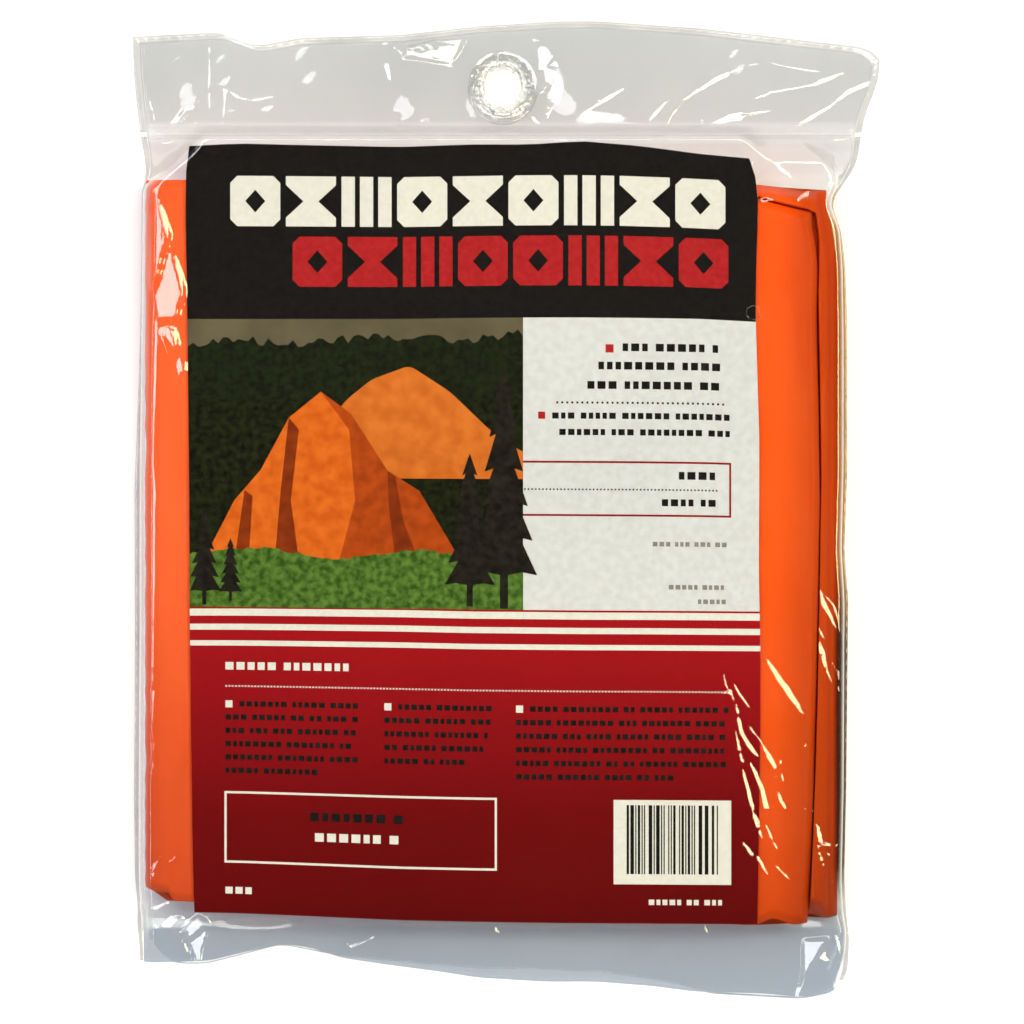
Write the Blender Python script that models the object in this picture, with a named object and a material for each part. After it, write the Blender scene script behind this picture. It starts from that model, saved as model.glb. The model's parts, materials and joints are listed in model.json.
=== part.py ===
"""Emergency tube tent as it is packed: a folded tube of film, a rope hank and an insert card
in a clear bag with a hang header. The pack lies on its back. +X runs across it, +Y towards
the header and +Z up out of its printed front. Lengths are in metres and angles in radians."""

import math

import bmesh
import bpy
import numpy
from mathutils import Vector

# Clearances and the film of the bag
GAP = 0.0003
FILM = 0.0004
OVERRUN = 0.002

# The pack as it lies, from the mouth to the top edge of the header
PACK_LENGTH = 0.300
HEADER_WIDTH = 0.2288
BODY_WIDTH = 0.2180
BODY_INSET = 0.0010
SIDE_WELD_WIDTH = 0.0022
GUSSET_HEIGHT = 0.0098
LEFT_CORNER_WIDTH = 0.0070
RIGHT_CORNER_WIDTH = 0.0140
CORNER_STEPS = 4
MOUTH_SKEW = 0.011
FRONT_SET_BACK = 0.0035
NECK_LENGTH = 0.0112
NECK_RUN = 0.0023
CROSS_WELD_WIDTH = 0.0012
HINGE_CLEARANCE = 0.0006

# The hang header, which leans down to the table
HEADER_LENGTH = 0.0364
HINGE_HEIGHT = 0.0100
HEADER_SEAM_WIDTH = 0.0020
RING_FROM_HINGE = 0.0146
RING_OFFSET = -0.0010
RING_HOLE_WIDTH = 0.0100
RING_HOLE_LENGTH = 0.0132
RING_FLANGE = 0.0052
RING_COLLAR = 0.0011
RING_CROWN = 0.0022
RING_BACK_THICKNESS = 0.0007
RING_STEPS = 32

# The insert card, which lies a little askew
CARD_WIDTH = 0.1702
CARD_LENGTH = 0.2318
CARD_THICKNESS = 0.0004
CARD_FROM_LEFT = 0.0183
CARD_FROM_NECK = 0.0012
CARD_TURN = math.radians(-0.3)

# The folded tent: two packets of film that share a spine on the left
TENT_THICKNESS = 0.0180
TENT_LENGTH = 0.2262
PACKET_BITE = 0.0006
PACKET_ROUND = 0.0040
PACKET_ROUND_STEPS = 3
UPPER_PACKET_SHORTER = 0.0080
UPPER_PACKET_NARROWER = 0.0105
LOWER_LEFT_SHORTER = 0.0078
LOWER_PACKET_RAISED = 0.0020
SPINE_STEPS = 12
TENT_FROM_NECK = 0.0012

# The rope, put away as a hank under the tent. It is 25 feet long.
FOOT = 0.3048
ROPE_FEET = 25
ROPE_LENGTH = ROPE_FEET * FOOT
ROPE_DIAMETER = 0.003
HANK_LOOPS = 22
HANK_INNER_RADIUS = 0.0045
LOOP_STEP = 0.0039
LAYER_STEP = 0.0035
WAIST_SHARE = 0.1
HANK_OFFSET = -0.006
HANK_FROM_CENTRE = -0.012
RUN_POINTS = 4
END_POINTS = 8
FINE_POINTS = 4
TIE_WIDTH = 0.006
TIE_THICKNESS = 0.0006
CHANNEL_CLEARANCE = 0.0012

# Places along the header's edge: share of its width from the left, share of its length
HEADER_EDGE_SHARES = (
    (0.012, 0.0),
    (0.004, 0.44),
    (0.0, 0.855),
    (0.112, 0.90),
    (0.159, 0.77),
    (0.225, 0.85),
    (0.36, 0.865),
    (0.47, 0.94),
    (0.60, 1.0),
    (0.76, 0.935),
    (0.89, 0.82),
    (0.975, 0.76),
    (0.994, 0.72),
    (1.0, 0.65),
    (0.997, 0.45),
    (0.98, 0.15),
    (0.974, 0.0),
)

# Places that follow from the sizes
WELD_THICKNESS = 2 * FILM
BODY_LEFT = BODY_INSET - HEADER_WIDTH / 2
BODY_RIGHT = BODY_LEFT + BODY_WIDTH
WALL_INSET = SIDE_WELD_WIDTH + GAP
INNER_LEFT = BODY_LEFT + WALL_INSET + FILM
INNER_RIGHT = BODY_RIGHT - WALL_INSET - FILM
TENT_LEFT = INNER_LEFT + GAP
TENT_RIGHT = INNER_RIGHT - GAP
TENT_BOTTOM = FILM + GAP
TENT_TOP = TENT_BOTTOM + TENT_THICKNESS
CARD_BOTTOM = TENT_TOP + GAP
FRONT_HEIGHT = CARD_BOTTOM + CARD_THICKNESS + GAP + FILM / 2
WALL_BOTTOM = FILM + GAP
GUSSET_TOP = WALL_BOTTOM + GUSSET_HEIGHT
HEADER_HALF_STACK = FILM + GAP / 2
HEADER_TILT = math.asin((HINGE_HEIGHT - HEADER_HALF_STACK - GAP) / HEADER_LENGTH)
HINGE_Y = PACK_LENGTH / 2 - HEADER_LENGTH * math.cos(HEADER_TILT) - HEADER_HALF_STACK * math.sin(HEADER_TILT)
CROSS_WELD_TOP = HINGE_Y - HINGE_CLEARANCE
NECK_END = CROSS_WELD_TOP - CROSS_WELD_WIDTH - GAP
NECK_START = NECK_END - NECK_LENGTH
FRONT_NECK_START = NECK_END - NECK_RUN
CARD_TOP = FRONT_NECK_START - CARD_FROM_NECK
TENT_END = NECK_START - TENT_FROM_NECK
RING_COLLAR_CLEARANCE = RING_COLLAR + GAP


def clear_scene():
    """Remove every object, so that the script can be run again."""
    for item in list(bpy.data.objects):
        bpy.data.objects.remove(item, do_unlink=True)


def material(name, colour, roughness, metallic=0.0, transmission=0.0):
    """A material with one Principled shader."""
    made = bpy.data.materials.new(name)
    made.use_nodes = True
    shader = made.node_tree.nodes["Principled BSDF"]
    shader.inputs["Base Color"].default_value = (*colour, 1.0)
    shader.inputs["Roughness"].default_value = roughness
    shader.inputs["Metallic"].default_value = metallic
    shader.inputs["Transmission Weight"].default_value = transmission
    return made


def clear_film(name):
    """The clear film's material."""
    return material(name + "_material", (0.86, 0.87, 0.88), 0.12, transmission=0.9)


def add_object(name, shape, finish):
    """Put a bmesh into the scene as an object of its own."""
    mesh = bpy.data.meshes.new(name)
    bmesh.ops.recalc_face_normals(shape, faces=shape.faces)
    shape.to_mesh(mesh)
    shape.free()
    item = bpy.data.objects.new(name, mesh)
    bpy.context.scene.collection.objects.link(item)
    mesh.materials.append(finish)
    return item


def sheet(name, rows, finish):
    """A film whose middle surface runs through rows of points, given its thickness."""
    shape = bmesh.new()
    grid = [[shape.verts.new(point) for point in row] for row in rows]
    for lower, upper in zip(grid, grid[1:]):
        for corner in range(len(lower) - 1):
            shape.faces.new((lower[corner], lower[corner + 1], upper[corner + 1], upper[corner]))
    item = add_object(name, shape, finish)
    wall = item.modifiers.new("film", "SOLIDIFY")
    wall.thickness = FILM
    wall.offset = 0
    return item


def prism(name, outline, direction, finish):
    """A flat outline of points pushed along a direction into a solid."""
    shape = bmesh.new()
    face = shape.faces.new([shape.verts.new(point) for point in outline])
    pushed = bmesh.ops.extrude_face_region(shape, geom=[face])
    moved = [part for part in pushed["geom"] if isinstance(part, bmesh.types.BMVert)]
    bmesh.ops.translate(shape, verts=moved, vec=direction)
    return add_object(name, shape, finish)


def cut(item, cutter):
    """Take a cutter's volume out of an object."""
    cutter.hide_render = True
    cutter.display_type = "WIRE"
    hole = item.modifiers.new(cutter.name, "BOOLEAN")
    hole.operation = "DIFFERENCE"
    hole.object = cutter


def join(item, other):
    """Unite another object's volume with an object."""
    other.hide_render = True
    other.display_type = "WIRE"
    union = item.modifiers.new(other.name, "BOOLEAN")
    union.operation = "UNION"
    union.object = other


# The bag's body


def mouth_y(x):
    """Where the back film ends at the mouth, which is cut askew."""
    share = (x - BODY_LEFT) / BODY_WIDTH
    return MOUTH_SKEW * (1 - share) - PACK_LENGTH / 2


def front_section():
    """The front film's middle line across the pack, from the left edge to the right."""
    rise = FRONT_HEIGHT - GUSSET_TOP - GAP
    left = INNER_LEFT - FILM / 2
    right = INNER_RIGHT + FILM / 2
    points = []
    for step in range(CORNER_STEPS + 1):
        angle = math.pi / 2 * step / CORNER_STEPS
        x = left + LEFT_CORNER_WIDTH * (1 - math.cos(angle))
        points.append((x, FRONT_HEIGHT - rise * (1 - math.sin(angle))))
    for step in range(CORNER_STEPS, -1, -1):
        angle = math.pi / 2 * step / CORNER_STEPS
        x = right - RIGHT_CORNER_WIDTH * (1 - math.cos(angle))
        points.append((x, FRONT_HEIGHT - rise * (1 - math.sin(angle))))
    return points


def add_bag_body():
    """The films, gussets and welds round the contents."""
    section = front_section()
    film_half = FILM / 2 + GAP / 2
    mouth = [Vector((x, mouth_y(x) + FRONT_SET_BACK, z)) for x, z in section]
    start = [Vector((x, FRONT_NECK_START, z)) for x, z in section]
    end = [Vector((x, NECK_END, HINGE_HEIGHT + film_half)) for x, z in section]
    sheet("bag_front_film", [mouth, start, end], clear_film("bag_front_film"))

    sides = (BODY_LEFT + WALL_INSET, BODY_RIGHT - WALL_INSET)
    stations = (
        [Vector((x, mouth_y(x), FILM / 2)) for x in sides],
        [Vector((x, NECK_START, FILM / 2)) for x in sides],
        [Vector((x, NECK_END, HINGE_HEIGHT - film_half)) for x in sides],
    )
    sheet("bag_back_film", stations, clear_film("bag_back_film"))

    slope = (HINGE_HEIGHT - FILM) / NECK_LENGTH
    gusset_end = FRONT_NECK_START - GAP
    gusset_low = WALL_BOTTOM + GAP + slope * (gusset_end - NECK_START)
    walls = (("left", BODY_LEFT + WALL_INSET), ("right", BODY_RIGHT - WALL_INSET - FILM))
    for side, x in walls:
        name = "bag_" + side + "_gusset"
        low = mouth_y(x) + FRONT_SET_BACK
        outline = (
            (x, low, WALL_BOTTOM),
            (x, NECK_START - GAP, WALL_BOTTOM),
            (x, gusset_end, gusset_low),
            (x, gusset_end, GUSSET_TOP),
            (x, low, GUSSET_TOP),
        )
        prism(name, outline, (FILM, 0, 0), clear_film(name))

    for side, x in (("left", BODY_LEFT), ("right", BODY_RIGHT - SIDE_WELD_WIDTH)):
        name = "bag_" + side + "_weld"
        outline = (
            (x, mouth_y(x), 0),
            (x, NECK_START, 0),
            (x, NECK_END, HINGE_HEIGHT - FILM),
            (x, NECK_END, HINGE_HEIGHT + FILM),
            (x, NECK_START, WELD_THICKNESS),
            (x, mouth_y(x), WELD_THICKNESS),
        )
        prism(name, outline, (SIDE_WELD_WIDTH, 0, 0), clear_film(name))

    weld_start = NECK_END + GAP
    left = min(BODY_LEFT, header_edge(0)[0].x)
    right = max(BODY_RIGHT, header_edge(0)[-1].x)
    outline = (
        (left, weld_start, HINGE_HEIGHT - HEADER_HALF_STACK),
        (left, CROSS_WELD_TOP, HINGE_HEIGHT - HEADER_HALF_STACK),
        (left, CROSS_WELD_TOP, HINGE_HEIGHT + HEADER_HALF_STACK),
        (left, weld_start, HINGE_HEIGHT + HEADER_HALF_STACK),
    )
    prism("bag_cross_weld", outline, (right - left, 0, 0), clear_film("bag_cross_weld"))


# The hang header, drawn flat and then leaned down about its hinge


def header_edge(inset):
    """The header's edge from the left end of its hinge round to the right, moved in."""
    half = HEADER_WIDTH / 2
    points = [Vector((HEADER_WIDTH * u - half, HEADER_LENGTH * v)) for u, v in HEADER_EDGE_SHARES]
    moved = []
    for index, point in enumerate(points):
        before = points[max(index - 1, 0)]
        after = points[min(index + 1, len(points) - 1)]
        into = (point - before).normalized() if index else (after - point).normalized()
        out = (after - point).normalized() if index < len(points) - 1 else into
        along = (into + out).normalized()
        inward = Vector((along.y, -along.x))
        reach = inset / max(along.dot(into), 0.5)
        moved.append(point + reach * inward)
    moved[0].y = GAP
    moved[-1].y = GAP
    return moved


def oval(width, length, offset=0.0):
    """Points of the ring's oval, widened all round by an offset."""
    points = []
    for step in range(RING_STEPS):
        angle = 2 * math.pi * step / RING_STEPS
        x = RING_OFFSET + (width / 2 + offset) * math.cos(angle)
        y = RING_FROM_HINGE + (length / 2 + offset) * math.sin(angle)
        points.append((x, y))
    return points


def oval_ring(name, profile, finish):
    """A ring swept round the hang hole from a profile of distance from the hole and height."""
    shape = bmesh.new()
    rings = []
    for offset, height in profile:
        points = oval(RING_HOLE_WIDTH, RING_HOLE_LENGTH, offset)
        rings.append([shape.verts.new((x, y, height)) for x, y in points])
    for inner, outer in zip(rings, rings[1:] + rings[:1]):
        for step in range(RING_STEPS):
            after = (step + 1) % RING_STEPS
            shape.faces.new((inner[step], outer[step], outer[after], inner[after]))
    item = add_object(name, shape, finish)
    item.data.shade_smooth()
    item.data.set_sharp_from_angle(angle=math.radians(40))
    return item


def lean(item, hinge):
    """Hang an object of the header on its hinge."""
    item.parent = hinge


def add_header():
    """The two films, their seam and the hang ring, which fold about the hinge line."""
    hinge = bpy.data.objects.new("header_hinge", None)
    bpy.context.scene.collection.objects.link(hinge)
    hinge.location = (0, HINGE_Y, HINGE_HEIGHT)
    hinge.rotation_euler = (-HEADER_TILT, 0, 0)

    outer = header_edge(0)
    inner = header_edge(HEADER_SEAM_WIDTH)
    outline = [(point.x, point.y, -HEADER_HALF_STACK) for point in outer + inner[::-1]]
    stack = (0, 0, 2 * HEADER_HALF_STACK)
    lean(prism("header_seam", outline, stack, clear_film("header_seam")), hinge)

    edge = header_edge(HEADER_SEAM_WIDTH + GAP)
    hole = oval(RING_HOLE_WIDTH, RING_HOLE_LENGTH, RING_COLLAR_CLEARANCE)
    low = -HEADER_HALF_STACK - OVERRUN
    tall = (0, 0, 2 * (HEADER_HALF_STACK + OVERRUN))
    plain = material("cutter_material", (0.5, 0.5, 0.5), 0.5)
    cutter = prism("ring_hole_cutter", [(x, y, low) for x, y in hole], tall, plain)
    lean(cutter, hinge)
    for name, bottom in (("header_front_film", GAP / 2), ("header_back_film", -HEADER_HALF_STACK)):
        outline = [(point.x, point.y, bottom) for point in edge]
        film = prism(name, outline, (0, 0, FILM), clear_film(name))
        lean(film, hinge)
        cut(film, cutter)

    seat = HEADER_HALF_STACK + GAP
    front = (
        (0, -HEADER_HALF_STACK),
        (0, seat + 0.8 * RING_CROWN),
        (0.2 * RING_FLANGE, seat + RING_CROWN),
        (0.36 * RING_FLANGE, seat + 0.75 * RING_CROWN),
        (0.7 * RING_FLANGE, seat + 0.5 * RING_CROWN),
        (RING_FLANGE, seat + 0.25 * RING_CROWN),
        (RING_FLANGE, seat),
        (RING_COLLAR, seat),
        (RING_COLLAR, -HEADER_HALF_STACK),
    )
    lean(oval_ring("hang_ring_front", front, clear_film("hang_ring_front")), hinge)
    back = (
        (0, -seat),
        (0, -seat - RING_BACK_THICKNESS),
        (0.9 * RING_FLANGE, -seat - RING_BACK_THICKNESS),
        (RING_FLANGE, -seat - 0.5 * RING_BACK_THICKNESS),
        (RING_FLANGE, -seat),
    )
    lean(oval_ring("hang_ring_back", back, clear_film("hang_ring_back")), hinge)


# The insert card


def add_card():
    """The printed card, between the tent and the front film."""
    half = Vector((CARD_WIDTH / 2, CARD_LENGTH / 2, 0))
    outline = (
        (-half.x, -half.y, 0),
        (half.x, -half.y, 0),
        (half.x, half.y, 0),
        (-half.x, half.y, 0),
    )
    white = material("insert_card_material", (0.55, 0.03, 0.03), 0.5)
    card = prism("insert_card", outline, (0, 0, CARD_THICKNESS), white)
    reach = half.y * math.cos(CARD_TURN) + half.x * math.sin(abs(CARD_TURN))
    card.location = (BODY_LEFT + CARD_FROM_LEFT + half.x, CARD_TOP - reach, CARD_BOTTOM)
    card.rotation_euler = (0, 0, CARD_TURN)


# The folded tent


def packet(name, corners, bottom, top, finish):
    """One packet of folded film: a slab with its edges rounded."""
    shape = bmesh.new()
    face = shape.faces.new([shape.verts.new((x, y, bottom)) for x, y in corners])
    pushed = bmesh.ops.extrude_face_region(shape, geom=[face])
    moved = [part for part in pushed["geom"] if isinstance(part, bmesh.types.BMVert)]
    bmesh.ops.translate(shape, verts=moved, vec=(0, 0, top - bottom))
    item = add_object(name, shape, finish)
    edge = item.modifiers.new("rounding", "BEVEL")
    edge.width = PACKET_ROUND
    edge.segments = PACKET_ROUND_STEPS
    edge.limit_method = "NONE"
    return item


def add_tent():
    """The tent: a lower and an upper packet that turn into each other at the spine."""
    orange = material("folded_tent_material", (0.95, 0.13, 0.02), 0.35)
    radius = TENT_THICKNESS / 2
    middle = TENT_BOTTOM + radius
    start = TENT_END - TENT_LENGTH
    left = TENT_LEFT + radius
    left_start = start + LOWER_LEFT_SHORTER
    raised = start + LOWER_PACKET_RAISED
    lower = (
        (left, left_start),
        (TENT_RIGHT, raised),
        (TENT_RIGHT, TENT_END),
        (left, TENT_END),
    )
    tent = packet("folded_tent", lower, TENT_BOTTOM, middle + PACKET_BITE, orange)
    upper_right = TENT_RIGHT - UPPER_PACKET_NARROWER
    upper = (
        (left, left_start),
        (upper_right, start),
        (upper_right, TENT_END - UPPER_PACKET_SHORTER),
        (left, TENT_END),
    )
    join(tent, packet("upper_packet_joiner", upper, middle - PACKET_BITE, TENT_TOP, orange))

    spine_start = left_start + PACKET_ROUND
    outline = []
    for step in range(SPINE_STEPS + 1):
        angle = math.pi / 2 + math.pi * step / SPINE_STEPS
        outline.append((left + radius * math.cos(angle), spine_start, middle + radius * math.sin(angle)))
    reach = PACKET_ROUND + PACKET_BITE
    outline.append((left + reach, spine_start, TENT_BOTTOM))
    outline.append((left + reach, spine_start, TENT_TOP))
    length = TENT_END - PACKET_ROUND - spine_start
    join(tent, prism("spine_joiner", outline, (0, length, 0), orange))

    half = hank_half_width() + CHANNEL_CLEARANCE
    ceiling = hank_bottom() + LAYER_STEP + ROPE_DIAMETER + GAP + TIE_THICKNESS + GAP
    low = TENT_BOTTOM - OVERRUN
    channel_end = HANK_FROM_CENTRE + hank_run() / 2 + half
    corner = half / 2
    outline = (
        (HANK_OFFSET - half, start - OVERRUN, low),
        (HANK_OFFSET + half, start - OVERRUN, low),
        (HANK_OFFSET + half, channel_end - corner, low),
        (HANK_OFFSET + corner, channel_end, low),
        (HANK_OFFSET - corner, channel_end, low),
        (HANK_OFFSET - half, channel_end - corner, low),
    )
    cut(tent, prism("hank_channel_cutter", outline, (0, 0, ceiling - low), orange))


# The rope hank


def hank_outer_radius():
    """Half the width of the outermost loop's centre line at its ends."""
    return HANK_INNER_RADIUS + LOOP_STEP * HANK_LOOPS / 2


def hank_half_width():
    """Half the width of the hank over its rope."""
    return hank_outer_radius() + ROPE_DIAMETER / 2


def hank_run():
    """The straight length of each run that brings the loops to the rope's length."""
    mean = (HANK_INNER_RADIUS + hank_outer_radius()) / 2
    return (ROPE_LENGTH / HANK_LOOPS - 2 * math.pi * mean) / 2


def hank_bottom():
    """The underside of the lower layer of loops, which lies in its tie."""
    return FILM + GAP + TIE_THICKNESS + GAP


def hank_points(per_point):
    """The rope's centre line: out in the lower layer, up along a run, in again above."""
    loop_points = (2 * RUN_POINTS + 2 * END_POINTS) * per_point
    run_steps = RUN_POINTS * per_point
    end_steps = END_POINTS * per_point
    run = hank_run()
    outer = hank_outer_radius()
    layer_turns = HANK_LOOPS / 2
    climb_turns = run_steps / loop_points
    low = hank_bottom() + ROPE_DIAMETER / 2
    points = []
    for count in range(HANK_LOOPS * loop_points + 1):
        turns = count / loop_points
        place = count % loop_points
        above = max(turns - layer_turns - climb_turns, 0)
        radius = outer - LOOP_STEP * (max(layer_turns - turns, 0) + above)
        side = 1 if place < loop_points / 2 else -1
        place = place % (run_steps + end_steps)
        if place < run_steps:
            x = radius
            y = run * (place / run_steps - 0.5)
        else:
            angle = math.pi * (place - run_steps) / end_steps
            x = radius * math.cos(angle)
            y = run / 2 + radius * math.sin(angle)
        climbed = min(max((turns - layer_turns) / climb_turns, 0), 1)
        height = low + LAYER_STEP * climbed * climbed * (3 - 2 * climbed)
        reach = run / 2 + outer
        waist = 1 - WAIST_SHARE * math.cos(math.pi / 2 * y / reach) ** 2
        points.append((HANK_OFFSET + side * x * waist, HANK_FROM_CENTRE + side * y, height))
    return points


def least_gap(points, loop_points):
    """The smallest clear distance between stretches of the rope half a loop or more apart."""
    places = numpy.array(points)
    least = math.inf
    apart = loop_points // 4
    for index in range(len(places) - apart):
        reach = places[index + apart:] - places[index]
        least = min(least, math.sqrt((reach ** 2).sum(axis=1).min()))
    return least - ROPE_DIAMETER


def add_rope():
    """The rope as one unbroken tube, and the tie round its waist."""
    points = hank_points(1)
    curve = bpy.data.curves.new("rope_hank", "CURVE")
    curve.dimensions = "3D"
    curve.bevel_depth = ROPE_DIAMETER / 2
    curve.bevel_resolution = 1
    curve.use_fill_caps = True
    spline = curve.splines.new("POLY")
    spline.points.add(len(points) - 1)
    for point, place in zip(spline.points, points):
        point.co = (*place, 1)
    item = bpy.data.objects.new("rope_hank", curve)
    bpy.context.scene.collection.objects.link(item)
    curve.materials.append(material("rope_hank_material", (0.85, 0.85, 0.82), 0.7))
    fine = hank_points(FINE_POINTS)
    loop_points = (2 * RUN_POINTS + 2 * END_POINTS) * FINE_POINTS
    print("rope_hank least gap to itself, mm:", round(1000 * least_gap(fine, loop_points), 2))
    length = sum((Vector(b) - Vector(a)).length for a, b in zip(fine, fine[1:]))
    print("rope_hank length, m:", round(length, 3))

    waist_radius = hank_outer_radius() * (1 - WAIST_SHARE)
    half = waist_radius + ROPE_DIAMETER / 2 + GAP
    bottom = hank_bottom() - GAP
    top = hank_bottom() + LAYER_STEP + ROPE_DIAMETER + GAP
    inside = band_outline(half, bottom, top, 0)
    outside = band_outline(half, bottom, top, TIE_THICKNESS)
    shape = bmesh.new()
    loops = []
    for outline, y in ((outside, -0.5), (inside, -0.5), (inside, 0.5), (outside, 0.5)):
        place = HANK_FROM_CENTRE + y * TIE_WIDTH
        loops.append([shape.verts.new((HANK_OFFSET + x, place, z)) for x, z in outline])
    for near, far in zip(loops, loops[1:] + loops[:1]):
        for step, corner in enumerate(near):
            after = (step + 1) % len(near)
            shape.faces.new((corner, near[after], far[after], far[step]))
    add_object("rope_tie", shape, material("rope_tie_material", (0.05, 0.05, 0.05), 0.6))


def band_outline(half, bottom, top, thickness):
    """A flat band's outline round the waist, with round ends."""
    radius = (top - bottom) / 2
    middle = (top + bottom) / 2
    points = []
    for side in (1, -1):
        for step in range(END_POINTS + 1):
            angle = side * math.pi / 2 - math.pi * step / END_POINTS
            x = side * (half - radius) + (radius + thickness) * math.cos(angle)
            points.append((x, middle + (radius + thickness) * math.sin(angle)))
    return points


clear_scene()
add_bag_body()
add_header()
add_card()
add_tent()
add_rope()
bpy.context.view_layer.update()
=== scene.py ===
"""The looks of a packed emergency tube tent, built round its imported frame.

Lengths are in metres in the frame's own axes. A name that ends in _px holds pixel places of the
1024 by 1024 photograph, which looks straight down on the pack with its header towards +Y."""

import json
import math
import random

import bmesh
import bpy
import numpy as np
from mathutils import Matrix, Vector


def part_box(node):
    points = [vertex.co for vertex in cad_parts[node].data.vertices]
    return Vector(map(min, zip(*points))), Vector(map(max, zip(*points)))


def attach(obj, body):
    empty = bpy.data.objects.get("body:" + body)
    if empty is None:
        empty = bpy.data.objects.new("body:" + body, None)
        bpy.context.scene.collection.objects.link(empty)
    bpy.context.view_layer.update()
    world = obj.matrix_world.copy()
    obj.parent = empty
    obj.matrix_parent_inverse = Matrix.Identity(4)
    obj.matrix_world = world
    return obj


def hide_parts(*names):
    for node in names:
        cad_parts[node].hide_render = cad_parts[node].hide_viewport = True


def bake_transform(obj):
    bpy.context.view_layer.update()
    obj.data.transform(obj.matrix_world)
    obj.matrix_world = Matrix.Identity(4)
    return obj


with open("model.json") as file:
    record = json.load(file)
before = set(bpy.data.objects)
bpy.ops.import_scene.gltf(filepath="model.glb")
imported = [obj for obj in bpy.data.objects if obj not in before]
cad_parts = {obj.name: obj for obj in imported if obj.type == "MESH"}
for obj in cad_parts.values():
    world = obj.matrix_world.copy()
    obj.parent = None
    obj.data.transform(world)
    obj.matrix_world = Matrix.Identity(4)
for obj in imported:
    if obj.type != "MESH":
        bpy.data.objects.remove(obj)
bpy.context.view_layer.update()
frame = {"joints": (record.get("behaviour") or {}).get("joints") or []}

# How the photograph maps to the pack
PIXEL = 0.000305
MIDDLE_X_PX = 506
MIDDLE_Y_PX = 509
IMAGE_PX = 1024

# Sizes that the frame gives
TENT_LOW, TENT_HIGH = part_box("folded_tent")
CARD_LOW, CARD_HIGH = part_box("insert_card")
FILM_LOW, FILM_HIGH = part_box("bag_front_film")
SEAM_LOW, SEAM_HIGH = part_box("header_seam")
CROSS_LOW, CROSS_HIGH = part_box("bag_cross_weld")
RING_LOW, RING_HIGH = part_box("hang_ring_front")
TIE_LOW, TIE_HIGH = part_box("rope_tie")
HANK_LOW, HANK_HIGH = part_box("rope_hank")
HINGE = next(joint for joint in frame["joints"] if joint["name"] == "header_fold")["pos_m"]

# The film of the bag
SKIN = 0.00012
STACK_HALF = 0.00035
BACK_HEIGHT = 0.00025
WALL_FOOT = 0.0006
FRONT_HEIGHT = FILM_HIGH.z - 0.0002
CORNER_LEFT = 0.0050
CORNER_RIGHT = 0.0018
GUSSET_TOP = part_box("bag_left_gusset")[1].z
HEADER_TILT = math.radians(14.56)
NECK_START = 0.1013
NECK_END = 0.1125
FILM_FALLS_FROM = 0.1124
FILM_LANDS_AT = 0.1172
SEAM_WIDTH = 0.0020
HOLE_IN_FILM = 0.0066

# Sockets of a colour mix node, whose names it also gives to its other kinds
MIX_COLOUR_A = 6
MIX_COLOUR_B = 7
MIX_COLOUR_RESULT = 2


def smooth(value):
    """A step from 0 to 1 with soft ends."""
    held = np.clip(value, 0.0, 1.0)
    return held * held * (3 - 2 * held)


def place(points_px):
    """Pixel places as x and y columns in metres."""
    points = np.array(points_px, float)
    return (points[:, 0] - MIDDLE_X_PX) * PIXEL, (MIDDLE_Y_PX - points[:, 1]) * PIXEL


def soft_line(along, value, where, spread):
    """A polyline's value, averaged over a short stretch so that its corners are round."""
    order = np.argsort(along)
    offsets = np.linspace(-spread, spread, 9)
    total = sum(np.interp(where + offset, along[order], value[order]) for offset in offsets)
    return total / len(offsets)


def ripples(x, y, length, seed, count=7):
    """A smooth field of waves of about one length, from -1 to 1."""
    chance = random.Random(seed)
    total = np.zeros(np.shape(x))
    for _ in range(count):
        angle = chance.uniform(0, math.tau)
        pace = math.tau / length * chance.uniform(0.6, 1.6)
        across = math.cos(angle) * x + math.sin(angle) * y
        total = total + np.sin(pace * across + chance.uniform(0, math.tau))
    return total / math.sqrt(count)


def crumple(x, y, length, seed):
    """A field of crisp crease lines with smooth panels between them, from 0 to 1."""
    return np.exp(-3.2 * np.abs(ripples(x, y, length, seed, 6)))


def distance_to(x, y, line_x, line_y):
    """The plan distance from each point to a polyline."""
    least = np.full(np.shape(x), 1e9)
    for start_x, start_y, end_x, end_y in zip(line_x, line_y, line_x[1:], line_y[1:]):
        run_x, run_y = end_x - start_x, end_y - start_y
        length = max(run_x ** 2 + run_y ** 2, 1e-12)
        share = np.clip(((x - start_x) * run_x + (y - start_y) * run_y) / length, 0, 1)
        reach = np.hypot(x - start_x - share * run_x, y - start_y - share * run_y)
        least = np.minimum(least, reach)
    return least


def ridge(x, y, stroke_px, width, height):
    """A crease that stands up along a stroke of pixel places, and fades beside it."""
    line_x, line_y = place(stroke_px)
    reach = distance_to(x, y, line_x, line_y) / width
    return height * np.exp(1 - np.sqrt(reach ** 2 + 1))


def best_aim(normal_x, normal_y, aims):
    """The slope across a crease whose lean comes nearest to one of the aimed leans."""
    def miss(aim):
        return abs(normal_x * aim[1] - normal_y * aim[0]) + 0.15 * aim[2]

    found = min(aims, key=miss)
    return normal_x * found[0] + normal_y * found[1]


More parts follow.
